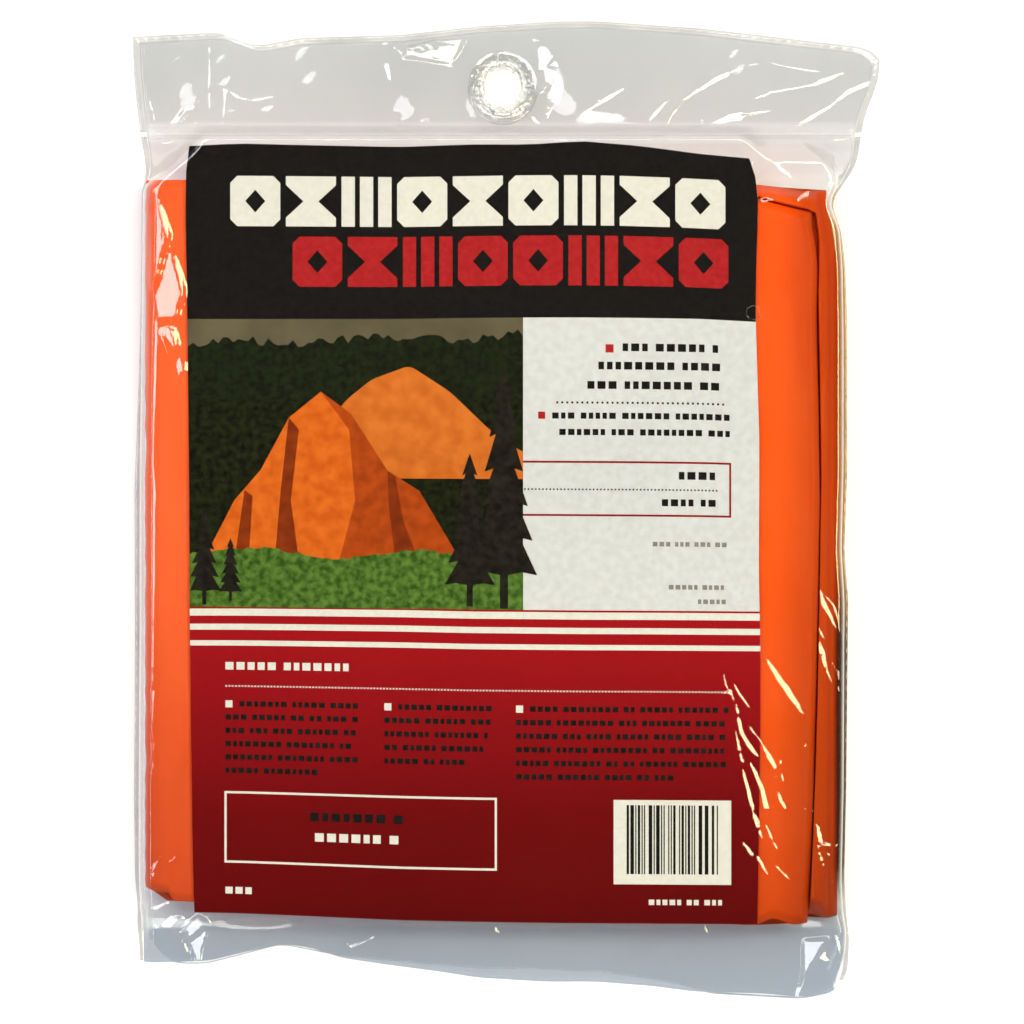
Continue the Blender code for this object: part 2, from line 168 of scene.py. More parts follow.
def pleat(x, y, stroke_px, aims):
    """A crease with one even slope across a stroke and a longer back.

    The stroke's places are (x, y, width) in pixels. The slope leans towards one of the aims."""
    line_x, line_y = place([spot[:2] for spot in stroke_px])
    widths = [max(SLIMMER * spot[2], LEAST_WIDTH_PX) * PIXEL for spot in stroke_px]
    least = np.full(np.shape(x), 1e9)
    height = np.zeros(np.shape(x))
    for index in range(len(stroke_px) - 1):
        run_x = line_x[index + 1] - line_x[index]
        run_y = line_y[index + 1] - line_y[index]
        length = math.hypot(run_x, run_y)
        normal_x, normal_y = run_y / length, -run_x / length
        slope = best_aim(normal_x, normal_y, aims)
        if slope < 0:
            normal_x, normal_y, slope = -normal_x, -normal_y, -slope
        from_x, from_y = x - line_x[index], y - line_y[index]
        share = np.clip((from_x * run_x + from_y * run_y) / length ** 2, 0, 1)
        reach = np.hypot(from_x - share * run_x, from_y - share * run_y)
        beside = np.sign(from_x * normal_x + from_y * normal_y) * reach
        wide = widths[index] + (widths[index + 1] - widths[index]) * share
        front = np.clip((wide / 2 - beside) / wide, 0, 1)
        back = np.exp(-np.maximum(-beside - wide / 2, 0) / (1.5 * wide))
        height = np.where(reach < least, slope * wide * front * back, height)
        least = np.minimum(least, reach)
    return height


def facet(x, y, outline_px, aim, pitch=0.0085, edge=0.0004):
    """A patch of film inside an outline that leans to one slope, as a row of low teeth."""
    line_x, line_y = place(outline_px)
    line_x, line_y = np.append(line_x, line_x[0]), np.append(line_y, line_y[0])
    inside = np.zeros(np.shape(x), bool)
    for start_x, start_y, end_x, end_y in zip(line_x, line_y, line_x[1:], line_y[1:]):
        crosses = (start_y > y) != (end_y > y)
        meets = start_x + (end_x - start_x) * (y - start_y) / ((end_y - start_y) or 1e-9)
        inside = inside ^ (crosses & (x < meets))
    reach = distance_to(x, y, line_x, line_y)
    mask = smooth(0.35 + np.where(inside, reach, -reach) / (2 * edge))
    lean = math.hypot(aim[0], aim[1])
    along = (x * aim[0] + y * aim[1]) / lean + 0.0004 * ripples(x, y, 0.03, 51)
    return mask * lean * pitch * (1 - np.mod(along / pitch, 1.0))


# Meshes


def add_mesh(name, points, faces, finish, smooth_shaded=True):
    """Put a mesh into the scene as an object of its own."""
    mesh = bpy.data.meshes.new(name)
    mesh.from_pydata([tuple(map(float, point)) for point in points], [], faces)
    mesh.materials.append(finish)
    if smooth_shaded:
        mesh.shade_smooth()
    mesh.update()
    item = bpy.data.objects.new(name, mesh)
    bpy.context.scene.collection.objects.link(item)
    return item


def dress(item, body, slot, *nodes):
    """Say which body carries a piece and which nodes it stands for, which it hides; its slot is not used.
    """
    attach(item, body)
    if nodes:
        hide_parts(*nodes)


def grid_faces(rows, columns, wrap=False, keep=None):
    """The faces of a grid of points, row by row. Wrapped, its last column joins its first."""
    faces = []
    for row in range(0, (rows - 1) * columns, columns):
        for column in range(columns if wrap else columns - 1):
            after = row + (column + 1) % columns
            face = (row + column, after, after + columns, row + columns + column)
            if keep is None or all(keep[corner] for corner in face):
                faces.append(face)
    return faces


def normals(x, y, z):
    """The upward normals of a grid whose rows run along +Y and columns along +X."""
    across = np.stack([np.gradient(part, axis=1) for part in (x, y, z)])
    along = np.stack([np.gradient(part, axis=0) for part in (x, y, z)])
    found = np.cross(across, along, axis=0)
    return found / np.maximum(np.linalg.norm(found, axis=0), 1e-12)


def add_film(name, x, y, z, keep, finish, *nodes):
    """A grid of film, given its thickness, as one closed skin that bends over the header's fold."""
    faces = grid_faces(*x.shape, keep=keep)
    used = sorted({corner for face in faces for corner in face})
    new_index = {old: new for new, old in enumerate(used)}
    faces = [tuple(new_index[corner] for corner in face) for face in faces]
    film = add_mesh(name, np.dstack([x, y, z]).reshape(-1, 3)[used], faces, finish)
    wall = film.modifiers.new("film", "SOLIDIFY")
    wall.thickness = SKIN
    wall.offset = 0
    graph = bpy.context.evaluated_depsgraph_get()
    solid = bpy.data.meshes.new_from_object(film.evaluated_get(graph))
    film.modifiers.clear()
    film.data = solid
    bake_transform(film)
    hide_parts(*nodes)


def closed_loops(name, rings, finish, capped=True):
    """A skin through closed rings of points, with its two ends filled or joined."""
    rows, columns = len(rings), len(rings[0])
    faces = grid_faces(rows, columns, wrap=True)
    last = (rows - 1) * columns
    if capped:
        faces += [tuple(range(columns))[::-1], tuple(range(last, last + columns))]
    else:
        afters = [(column + 1) % columns for column in range(columns)]
        faces += [(last + at, last + after, after, at) for at, after in enumerate(afters)]
    return add_mesh(name, np.reshape(rings, (-1, 3)), faces, finish)


# Materials
WHITE = (1, 1, 1, 1)


class Nodes:
    """The nodes of a material or a world, added and linked in short calls."""

    def __init__(self, owner, shader="Principled BSDF", where="Object"):
        owner.use_nodes = True
        self.owner = owner
        self.tree = owner.node_tree
        self.shader = self.tree.nodes[shader]
        self.where = self.add("ShaderNodeTexCoord").outputs[where]

    def feed(self, node, inputs):
        """Set or link a node's inputs, by number or by name with _ for a space."""
        for key, value in inputs.items():
            target = node.inputs[key.replace("_", " ") if isinstance(key, str) else key]
            if isinstance(value, bpy.types.NodeSocket):
                self.tree.links.new(value, target)
            else:
                target.default_value = value

    def add(self, kind, inputs=None, **settings):
        """A new node with some of its inputs and settings."""
        made = self.tree.nodes.new(kind)
        for key, value in settings.items():
            setattr(made, key, value)
        self.feed(made, inputs or {})
        return made

    def shade(self, **inputs):
        """Set or link inputs of the shader."""
        self.feed(self.shader, inputs)

    def axis(self, letter):
        """One of the coordinates."""
        return self.add("ShaderNodeSeparateXYZ", {"Vector": self.where}).outputs[letter]

    def stretched(self, scale):
        """The coordinates, scaled along each axis."""
        return self.add("ShaderNodeMapping", {"Scale": scale, "Vector": self.where}).outputs["Vector"]

    def ray(self, kind):
        """1 for rays of one kind."""
        return self.add("ShaderNodeLightPath").outputs[f"Is {kind} Ray"]

    def maths(self, operation, *values):
        """Values put through one operation."""
        return self.add("ShaderNodeMath", dict(enumerate(values)), operation=operation).outputs["Value"]

    def mixed(self, first, second, factor=1.0, blend_type="MULTIPLY"):
        """Two colours mixed, or else multiplied."""
        inputs = {"Factor": factor, MIX_COLOUR_A: first, MIX_COLOUR_B: second}
        made = self.add("ShaderNodeMix", inputs, data_type="RGBA", blend_type=blend_type)
        return made.outputs[MIX_COLOUR_RESULT]

    def noise(self, scale, detail=3.0, stretch=(1, 1, 1), distortion=0.0):
        """A noise texture's value."""
        inputs = {"Scale": scale, "Detail": detail, "Distortion": distortion}
        inputs["Vector"] = self.stretched(stretch)
        return self.add("ShaderNodeTexNoise", inputs).outputs["Fac"]

    def ramp(self, source, stops):
        """Colours by a value: stops of (place, colour)."""
        made = self.add("ShaderNodeValToRGB", {"Fac": source})
        elements = made.color_ramp.elements
        while len(elements) < len(stops):
            elements.new(0.5)
        for element, (position, colour) in zip(elements, stops):
            element.position = position
            element.color = (*colour, 1.0)
        return made.outputs["Color"]

    def ranged(self, source, low, high, to_high=1.0):
        """A value carried from one range to another that starts at 0."""
        inputs = {"Value": source, "From_Min": low, "From_Max": high, "To_Max": to_high}
        return self.add("ShaderNodeMapRange", inputs).outputs["Result"]

    def bump(self, source, distance, strength, under=None):
        """Small relief from a value, on top of other relief."""
        inputs = {"Distance": distance, "Strength": strength, "Height": source}
        if under is not None:
            inputs["Normal"] = under
        return self.add("ShaderNodeBump", inputs).outputs["Normal"]

    def surface(self, node):
        """Make a node's shader the one that is seen."""
        self.tree.links.new(node.outputs["Shader"], self.tree.nodes["Material Output"].inputs["Surface"])

    def lets_light_through(self, colour):
        """Light passes, tinted, to what lies under clear film, with no refraction."""
        clear = self.add("ShaderNodeBsdfTransparent", {"Color": (*colour, 1.0)})
        either = self.maths("MAXIMUM", self.ray("Shadow"), self.ray("Diffuse"))
        shaders = {1: self.shader.outputs["BSDF"], 2: clear.outputs["BSDF"]}
        self.surface(self.add("ShaderNodeMixShader", {"Fac": either, **shaders}))
        return self.owner


def new_material(name, **inputs):
    """The nodes of a new material, with inputs of its shader."""
    made = Nodes(bpy.data.materials.new(name))
    made.shade(**inputs)
    return made


def grey(level):
    """A colour with its three parts alike."""
    return (level, level, level)


# Tint of the front film from its mouth to the header's top edge; the bluish grey at the mouth end is
# painted shadow.
FILM_TINT_AND_PAINTED_SHADOW = (
    (0.0, (0.90, 0.915, 0.93)),
    (0.07, (0.90, 0.91, 0.925)),
    (0.115, grey(0.985)),
    (0.83, grey(0.985)),
    (0.865, (0.945, 0.94, 0.955)),
    (0.895, (0.875, 0.872, 0.888)),
    (0.94, (0.842, 0.848, 0.852)),
    (1.0, (0.842, 0.848, 0.862)),
)
# Tint of the back film from its mouth to the header's top edge; the dark bluish grey at the mouth end is
# painted shadow.
BACK_FILM_TINT_AND_PAINTED_SHADOW = (
    (0.0, (0.47, 0.535, 0.635)),
    (0.07, (0.46, 0.515, 0.605)),
    (0.115, grey(0.95)),
    (0.83, grey(0.95)),
    (0.895, (0.835, 0.83, 0.835)),
    (1.0, (0.840, 0.847, 0.857)),
)
DULL_COAT = ((0.0, grey(1)), (0.30, grey(0.12)), (0.85, grey(0.12)), (1.0, grey(1)))
TENT_TONES = ((0.25, (0.90, 0.082, 0.0015)), (0.5, (0.98, 0.098, 0.002)), (0.75, (1.0, 0.114, 0.003)))
# Tent colour from left to right: painted shade where the left fold turns down, a paler painted sheen on
# the strip beside it, and painted shade on the part right of the upper packet.
TENT_PAINTED_SHADE_AND_SHEEN_ACROSS = (
    (0.0, (0.90, 0.74, 0.9)),
    (0.012, (0.92, 0.78, 1.0)),
    (0.022, (1.0, 1.25, 12.0)),
    (0.20, (1.0, 1.12, 9.0)),
    (0.80, grey(1)),
    (0.900, grey(1)),
    (0.935, (0.72, 0.70, 0.7)),
    (1.0, (0.60, 0.56, 0.6)),
)
# Tent colour from foot to head: painted shade that darkens it towards its foot.
TENT_PAINTED_SHADE_DOWN = (
    (0.0, (0.66, 0.62, 0.7)),
    (0.25, (0.84, 0.80, 0.8)),
    (0.5, grey(1)),
    (1.0, (1.05, 1.0, 1.0)),
)
RED_DOWN = (
    (0.05, (0.118, 0.0004, 0.0012)),
    (0.40, (0.160, 0.0006, 0.0018)),
    (1.0, (0.380, 0.0045, 0.0095)),
)


def painted_light_by_place(made, tint, painted_warm_light, dim, low):
    """Painted light on film: painted amber light beside the pack's right with painted shade lower down
    there, and painted shade wherever the film is seen edge-on.
    """
    beside = made.ranged(made.axis("X"), 0.0990, 0.1005)
    along = made.ranged(made.axis("Y"), -0.120, 0.100)
    clear = grey(1)
    # Beside the pack's right: painted shade low down, painted amber light higher up.
    stops = ((0.0, clear), (0.05, dim), (0.36, dim), (0.48, painted_warm_light), (0.975, painted_warm_light), (1.0, clear))
    painted_amber_and_shade = made.mixed(tint, made.mixed(WHITE, made.ramp(along, stops), beside, "MIX"))
    # Painted shade where the film is seen edge-on.
    facing = made.add("ShaderNodeLayerWeight").outputs["Facing"]
    return made.mixed(painted_amber_and_shade, made.ramp(facing, ((0.1, grey(1)), (0.9, grey(low)))))


def film_material(name, tints_with_painted_shadow):
    """Clear, glossy bag film: a tint that changes along the bag with painted shadow at its mouth end,
    painted amber light and painted shade beside the pack's right, painted shade where it is seen edge-on,
    and fine crackle in its gloss.
    """
    made = new_material(name, Roughness=0.03, IOR=1.06, Transmission_Weight=1.0)
    made.shade(Coat_Weight=1.0, Coat_Roughness=0.035, Coat_IOR=1.5)
    along = made.ranged(made.axis("Y"), -0.150, 0.150)
    smoke = made.ramp(made.noise(16.0), ((0.35, (0.955, 0.955, 0.96)), (0.62, (1.0, 1.0, 0.995))))
    tinted = made.mixed(made.ramp(along, tints_with_painted_shadow), smoke)
    # Painted amber light and painted shade beside the pack's right, and painted shade where the film is
    # seen edge-on.
    tinted = painted_light_by_place(made, tinted, (0.78, 0.50, 0.24), (0.27, 0.18, 0.13), 0.75)
    fine = made.bump(made.noise(520.0, 3.0, distortion=0.6), 0.000012, 0.5)
    slow = made.bump(made.noise(90.0, 2.0, distortion=1.2), 0.00008, 0.4, fine)
    crimp = made.ranged(made.axis("Y"), HINGE[1] - 0.004, HINGE[1] + 0.004)
    made.shade(Base_Color=tinted, Coat_Normal=slow, Coat_Weight=made.ramp(crimp, DULL_COAT))
    return made.lets_light_through(grey(0.965))


def weld_material(name, low, high, coat=1.0):
    """Film melted together along a seam: clear, with pressed cross lines."""
    made = new_material(name, Roughness=0.05, IOR=1.06, Transmission_Weight=1.0)
    made.shade(Coat_Weight=coat, Coat_Roughness=0.08, Coat_IOR=1.5)
    tint = made.ramp(made.noise(90.0), ((0.3, low), (0.7, high)))
    # Painted amber light and painted shade beside the pack's right, and painted shade where the weld is
    # seen edge-on.
    tint = painted_light_by_place(made, tint, (0.82, 0.53, 0.26), (0.27, 0.19, 0.14), 0.4)
    made.shade(Base_Color=tint, Coat_Normal=made.bump(made.noise(500.0, 3.0, (1, 1, 0.2)), 0.00005, 0.5))
    return made.lets_light_through(grey(0.92))


def ring_material():
    """Clear moulded plastic with a crazed surface."""
    made = new_material("clear_ring_finish", Roughness=0.02, IOR=1.30, Transmission_Weight=1.0)
    made.shade(Coat_Weight=1.0, Coat_Roughness=0.03, Coat_IOR=1.5)
    stops = ((0.3, (0.955, 0.955, 0.95)), (0.7, (1.0, 1.0, 0.995)))
    made.shade(Base_Color=made.ramp(made.noise(140.0), stops))
    made.shade(Normal=made.bump(made.noise(420.0), 0.00008, 0.5))
    return made.lets_light_through((0.95, 0.95, 0.945))


def tent_material():
    """Orange film, softly glossy, with fine creases, random tones and painted light: painted shade
    deepens its orange at the left fold, right of the upper packet and towards its foot, and a painted
    sheen pales the strip beside the left fold.
    """
    made = new_material("orange_film_finish", Roughness=0.42, IOR=1.45, Specular_IOR_Level=0.10)
    broad = made.ramp(made.noise(26.0, 4.0, (1, 0.35, 1)), TENT_TONES)
    across = made.ramp(made.ranged(made.axis("X"), -0.112, 0.104), TENT_PAINTED_SHADE_AND_SHEEN_ACROSS)
    down = made.ramp(made.ranged(made.axis("Y"), -0.127, 0.100), TENT_PAINTED_SHADE_DOWN)
    fine = made.bump(made.noise(900.0, 4.0, (1, 0.5, 1)), 0.00006, 0.5)
    long = made.bump(made.noise(70.0, 4.0, (1, 0.16, 1), 0.8), 0.0006, 0.35, fine)
    inputs = {"Scale": 420.0, "Distortion": 2.5, "Vector": made.stretched((0.25, 0.25, 1))}
    layers = made.add("ShaderNodeTexWave", inputs, bands_direction="Z").outputs["Fac"]
    # Random tones times the painted shade and painted sheen across and down.
    colour = made.mixed(broad, made.mixed(across, down))
    made.shade(Base_Color=colour, Normal=made.bump(layers, 0.00010, 0.4, long))
    return made.owner


def ink_material(name, low, high, roughness=0.45, grain=700.0):
    """A printed ink: two close tones in a fine grain."""
    made = new_material(name, Roughness=roughness, Specular_IOR_Level=0.02)
    made.shade(Base_Color=made.ramp(made.noise(grain, 5.0), ((0.35, low), (0.65, high))))
    made.shade(Normal=made.bump(made.noise(grain * 1.7), 0.00003, 0.5))
    return made.owner


def red_panel_material():
    """The red panel, which deepens towards its foot."""
    made = new_material("red_ink_finish", Roughness=0.42, Specular_IOR_Level=0.03)
    down = made.ranged(made.axis("Y"), -0.125, -0.030)
    mottled = made.maths("MULTIPLY_ADD", made.noise(650.0, 4.0), 0.12, down)
    made.shade(Base_Color=made.ramp(mottled, RED_DOWN))
    made.shade(Normal=made.bump(made.noise(1100.0), 0.00003, 0.5))
    return made.owner


def rope_material():
    """Braided white cord."""
    made = new_material("rope_finish", Roughness=0.75, Sheen_Weight=0.3, Sheen_Roughness=0.5)
    stops = ((0.3, (0.60, 0.59, 0.55)), (0.7, (0.84, 0.83, 0.79)))
    made.shade(Base_Color=made.ramp(made.noise(420.0, 4.0), stops))
    made.shade(Normal=made.bump(made.noise(2400.0, 2.0), 0.00012, 0.6))
    return made.owner


def tie_material():
    """Dark elastic band with fine ribs, darker in the grooves between them as painted shade."""
    made = new_material("tie_band_finish", Roughness=0.7)
    inputs = {"Scale": 330.0, "Vector": made.where}
    ribs = made.add("ShaderNodeTexWave", inputs, bands_direction="Y").outputs["Fac"]
    # The rib pattern also colours the band: its grooves are painted darker, as painted shade.
    made.shade(Base_Color=made.ramp(ribs, ((0.2, (0.012, 0.012, 0.013)), (0.9, (0.05, 0.05, 0.053)))))
    made.shade(Normal=made.bump(ribs, 0.0002, 0.8))
    return made.owner


CLEAR = film_material("clear_film_finish", FILM_TINT_AND_PAINTED_SHADOW)
CLEAR_BACK = film_material("clear_back_film_finish", BACK_FILM_TINT_AND_PAINTED_SHADOW)
WELD = weld_material("film_weld_finish", (0.60, 0.60, 0.61), (0.74, 0.735, 0.735))
SOFT_WELD = weld_material("soft_weld_finish", (0.93, 0.92, 0.925), (0.97, 0.965, 0.965), 0.15)
RING = ring_material()

# The pack's plan outline, from the photograph
LEFT_EDGE_PX = (
    (143, 135), (144, 158), (145, 170), (140, 186), (139.5, 298), (137, 370), (134.6, 438),
    (132.5, 484), (133, 640), (132, 800), (133, 880), (136, 910), (135, 925), (137, 940), (139, 966),
)
LEFT_WALL_PX = (
    (146, 135), (149, 150), (148, 170), (143.5, 186), (142.8, 255), (141.5, 370), (140, 485),
    (140, 640), (139, 800), (139, 880), (141, 905), (140, 925), (141, 940), (142, 966),
)
RIGHT_EDGE_PX = (
    (860, 135), (852, 165), (842, 185), (833, 203), (843, 230), (847, 267), (849, 330), (849, 470),
    (846, 550), (850, 600), (848, 790), (846, 880), (848, 920), (851, 941), (849, 975), (840, 990),
)
RIGHT_WALL_PX = (
    (856, 135), (848, 165), (838, 185), (829, 203), (839, 230), (842, 267), (843, 330), (843, 470),
    (841, 550), (844, 600), (843, 790), (841, 880), (843, 920), (846, 941), (844, 975), (836, 990),
)
BACK_EDGE_PX = (
    (135, 962), (145, 965), (208, 963), (240, 955), (282, 946), (310, 950), (340, 960),
    (380, 966), (440, 974), (478, 980), (546, 984), (596, 984), (650, 988),
    (696, 994), (766, 996), (798, 999), (828, 997), (840, 991), (852, 975),
)
FRONT_EDGE_PX = (
    (135, 930), (147, 930), (157, 943), (168, 957), (180, 961), (208, 961), (240, 953), (282, 942),
    (300, 945), (319, 949), (345, 954), (411, 960), (480, 966), (542, 967), (604, 970),
    (654, 977), (679, 982), (710, 991), (766, 994), (800, 996), (830, 990), (852, 968),
)
TOP_EDGE_PX = (
    (131, 35), (165, 33), (205, 31), (220, 31), (236, 38), (250, 43), (265, 43), (300, 36),
    (400, 33), (480, 24), (560, 19), (600, 19), (700, 26), (800, 38), (860, 45), (874, 50),
    (881, 60),
)
HEADER_LEFT_PX = ((144, 158), (140, 130), (136, 100), (133, 70), (131, 34))
HEADER_RIGHT_PX = ((860, 139), (865, 115), (875, 90), (879, 78), (881, 58), (880, 40))


def edge_x(points_px, y, spread=0.0025):
    """An upright edge's x at each y."""
    line_x, line_y = place(points_px)
    return soft_line(line_y, line_x, y, spread)


def edge_y(points_px, x, spread=0.0025):
    """A level edge's y at each x."""
    line_x, line_y = place(points_px)
    return soft_line(line_x, line_y, x, spread)


def plane_z(y):
    """The header's middle plane, level before the hinge and leaning down after it."""
    return HINGE[2] - np.maximum(y - HINGE[1], 0) * math.tan(HEADER_TILT)


def header_x(share, y, inset):
    """x at a share of the header's width, from its left edge to its right."""
    left = edge_x(HEADER_LEFT_PX, y) + inset
    right = edge_x(HEADER_RIGHT_PX, y) - inset
    return left + (right - left) * share


def header_top(share, inset):
    """y of the header's top edge at a share of its width."""
    x = header_x(share, 0.14, 0)
    return edge_y(TOP_EDGE_PX, x, 0.0012) - inset


RING_X = (RING_LOW.x + RING_HIGH.x) / 2
RING_Y = (RING_LOW.y + RING_HIGH.y) / 2 - 0.0004
RING_HALF_X = (RING_HIGH.x - RING_LOW.x) / 2
RING_HALF_Y = (RING_HIGH.y - RING_LOW.y) / 2


def ring_reach(x, y):
    """Distance from the ring's middle as a share of its half size."""
    return np.hypot((x - RING_X) / RING_HALF_X, (y - RING_Y) / RING_HALF_Y)


def header_wave(x, y):
    """The slow waves that both films of the header share. They are flat at the ring."""
    wave = 0.0004 * ripples(x, y, 0.080, 11) + 0.00003 * ripples(x, y, 0.026, 12)
    in_header = smooth((y - HINGE[1] + 0.002) / 0.012)
    at_ring = smooth((ring_reach(x, y) - 1.1) / 0.8)
    at_edge = 0.35 + 0.65 * smooth((edge_y(TOP_EDGE_PX, x) - y) / 0.012)
    return (wave + 0.0003) * in_header * at_ring * at_edge


# Leans in degrees at which film in the middle catches each softbox: middle and half spans.
# Farther out the camera and the lamps stand at another angle, and the header leans already.
LEANS = ((10.5, 4.5, 4.8, 4.8), (0.75, 8.0, 4.8, 3.0), (-9.0, 8.5, 3.4, 9.2))
AIM_SHIFT = 21.0
SPREAD = (-0.62, 0.0, 0.62)


def aims_at(spots_px, header):
    """The slopes that catch the softboxes at the middle of some places, and how far off centre."""
    spots_x, spots_y = place([spot[:2] for spot in spots_px])
    shift_x = AIM_SHIFT * float(np.mean(spots_x))
    shift_y = AIM_SHIFT * float(np.mean(spots_y)) + (math.degrees(HEADER_TILT) if header else 0)
    aims = []
    for middle_x, middle_y, half_x, half_y in LEANS:
        for across in SPREAD:
            for along in SPREAD:
                lean_x = middle_x + across * half_x - shift_x
                lean_y = middle_y + along * half_y - shift_y
                slopes = math.tan(math.radians(lean_x)), math.tan(math.radians(lean_y))
                aims.append((*slopes, 0.1 * math.hypot(across, along)))
    return aims

# Creases of the header: (x, y, width)
HEADER_PLEATS_PX = (
    ((655, 140, 2), (661, 134, 2), (673, 114, 2.5), (685, 99, 3), (700, 89, 5), (713, 81, 7),
     (730, 72, 6), (749, 65, 4), (767, 60, 2.5)),
    ((656, 142, 3), (680, 138, 5), (705, 129, 7), (730, 118, 9), (741, 116, 10)),
    ((743, 112, 4), (756, 99, 3), (771, 92, 3), (796, 88, 3), (814, 84, 4), (827, 79, 6), (842, 73, 3)),
    ((767, 60, 2), (779, 64, 3), (804, 69, 4), (824, 72, 5), (842, 73, 3)),
    ((780, 163, 2), (782, 143, 3), (787, 131, 3.5), (804, 122, 4), (829, 107, 4), (849, 91, 6),
     (862, 85, 5), (877, 80, 5)),
    ((604, 101, 4), (612, 96, 5), (622, 90, 3)),
    ((658, 111, 4), (663, 105, 4), (668, 101, 3)),
    ((539, 38, 2.5), (547, 28, 3), (559, 23, 3), (571, 25, 2)),
    ((546, 66, 2), (556, 55, 3), (566, 51, 3)),
    ((547, 38, 2), (552, 46, 2), (552, 54, 2)),
    ((548, 70, 3), (557, 75, 3), (562, 85, 2.5), (556, 106, 2.5), (544, 133, 2.5)),
    ((548, 72, 3), (550, 84, 3), (545, 92, 2)),
    ((521, 119, 3), (522, 138, 3)),
    ((534, 119, 4), (541, 126, 5), (542, 136, 3)),
    ((461, 93, 3), (467, 105, 3), (473, 113, 2)),
    ((474, 128, 2), (478, 134, 3), (484, 137, 2)),
    ((396, 128, 4), (404, 133, 6), (415, 142, 3)),
    ((385, 42, 5), (386, 62, 6), (391, 81, 2)),
    ((386, 42, 3), (396, 48, 4), (403, 54, 4)),
    ((396, 38, 3), (430, 34, 3), (476, 27, 3)),
    ((403, 58, 3), (426, 60, 3), (450, 65, 3)),
    ((179, 125, 4), (190, 109, 4.5), (201, 97, 3)),
    ((201, 98, 3), (198, 109, 3), (196, 125, 4), (200, 143, 2)),
    ((181, 128, 3), (186, 141, 4), (203, 146, 2)),
    ((131, 83, 3), (135, 98, 4), (142, 122, 3), (148, 145, 3)),
    ((151, 101, 2), (152, 110, 3), (155, 119, 2)),
    ((148, 125, 2), (165, 126, 3), (180, 128, 3)),
    ((154, 135, 2), (167, 140, 2), (180, 143, 2)),
    ((209, 46, 2), (209, 79, 2), (211, 138, 2)),
    ((226, 83, 1.5), (224, 110, 1.5), (222, 140, 1.5)),
    ((227, 91, 3), (240, 98, 4), (254, 100, 4), (270, 97, 2)),
    ((224, 140, 2), (237, 136, 3), (247, 136, 2)),
    ((243, 43, 2), (262, 46, 2.5), (275, 46, 3), (285, 45, 3)),
    ((313, 137, 2), (317, 124, 2), (321, 136, 2)),
    ((842, 153, 3), (847, 143, 4), (859, 134, 4)),
    ((851, 163, 3), (852, 136, 3)),
    ((827, 188, 3), (836, 173, 4), (847, 163, 3)),
    ((831, 191, 3), (844, 168, 3)),
    ((770, 164, 2), (776, 173, 3), (785, 180, 2)),
    ((751, 168, 2), (768, 178, 2)),
    ((809, 154, 2), (826, 154, 2)),
)

# Patches of the header that lie at their own tilt
HEADER_FACETS_PX = (
    ((404, 46), (430, 40), (466, 34), (459, 51), (451, 64), (426, 60), (404, 57)),
)

# Soft, low creases that shape the header's broad panels: stroke, width and height
HEADER_SOFT_PX = (
    (((252, 43), (255, 66), (260, 90)), 0.0030, 0.00012),
    (((765, 64), (762, 78), (755, 92)), 0.0016, 0.0002),
)

# Creases over the pack: (x, y, width)
BODY_PLEATS_PX = (
    ((722, 664, 1.5), (722, 674, 2), (724, 680, 1.5)),
    ((725, 683, 5), (728, 690, 9), (731, 696, 4)),
    ((733, 685, 3), (741, 697, 3.5), (747, 705, 2)),
    ((735, 706, 4), (735, 728, 5), (739, 748, 7), (742, 768, 5), (747, 788, 6), (752, 807, 7),
     (757, 827, 6), (765, 845, 3), (772, 852, 1.5)),
    ((736, 710, 4), (740, 732, 5), (748, 744, 7), (753, 751, 6)),
    ((747, 755, 4), (754, 772, 6), (761, 789, 6), (765, 807, 7), (767, 816, 2)),
    ((764, 822, 3), (770, 835, 6), (775, 847, 3)),
    ((774, 813, 2), (775, 835, 3)),
    ((749, 727, 2), (759, 740, 4), (767, 754, 7), (773, 764, 6), (776, 780, 4), (777, 794, 4),
     (783, 806, 3)),
    ((779, 762, 3), (781, 780, 2)),
    ((769, 665, 5), (777, 677, 7), (786, 690, 8), (794, 702, 7), (799, 710, 3)),
    ((819, 592, 3), (822, 602, 8), (828, 614, 5), (836, 630, 3.5), (842, 646, 2)),
    ((824, 596, 2), (832, 606, 3), (839, 628, 3), (841, 640, 2)),
    ((817, 627, 3), (819, 632, 5)),
    ((818, 643, 3), (820, 653, 7), (824, 667, 5), (831, 683, 3), (842, 693, 2)),
    ((830, 661, 2), (838, 679, 2)),
    ((743, 843, 4), (751, 853, 5), (759, 866, 2)),
    ((757, 857, 2), (765, 871, 3)),
    ((776, 866, 4), (783, 873, 4)),
    ((788, 842, 3), (794, 847, 2)),
    ((817, 832, 5), (819, 842, 6), (818, 850, 3)),
    ((818, 848, 6), (820, 857, 6)),
    ((827, 853, 3), (830, 880, 3)),
    ((803, 745, 1.5), (802, 770, 2.5), (803, 790, 1.5), (803, 808, 2)),
    ((811, 812, 2.5), (811, 840, 3)),
    ((152, 190, 3), (152, 260, 3), (153, 330, 2.5), (154, 400, 3), (155, 480, 2.5)),
    ((157, 600, 2), (157, 640, 2.5), (156, 680, 2)),
    ((150, 800, 2), (156, 740, 2), (157, 700, 1.5)),
    ((188, 353, 4), (188, 372, 4)),
    ((162, 338, 2), (176, 358, 2), (190, 379, 2)),
    ((152, 876, 2), (165, 865, 3), (178, 855, 2)),
    ((150, 876, 2), (168, 846, 2), (190, 810, 2)),
    ((160, 530, 1.5), (163, 505, 2), (160, 480, 1.5)),
    ((766, 201, 2), (780, 203, 2.5), (793, 207, 2)),
    ((789, 208, 2), (796, 203, 2.5), (803, 197, 2)),
    ((797, 209, 2), (804, 203, 2)),
)
BODY_FACETS_PX = (
    ((153, 186), (157, 190), (166, 215), (176, 250), (187, 290), (187, 324), (160, 322), (152, 280)),
    ((160, 328), (176, 330), (188, 366), (186, 380), (172, 350)),
)

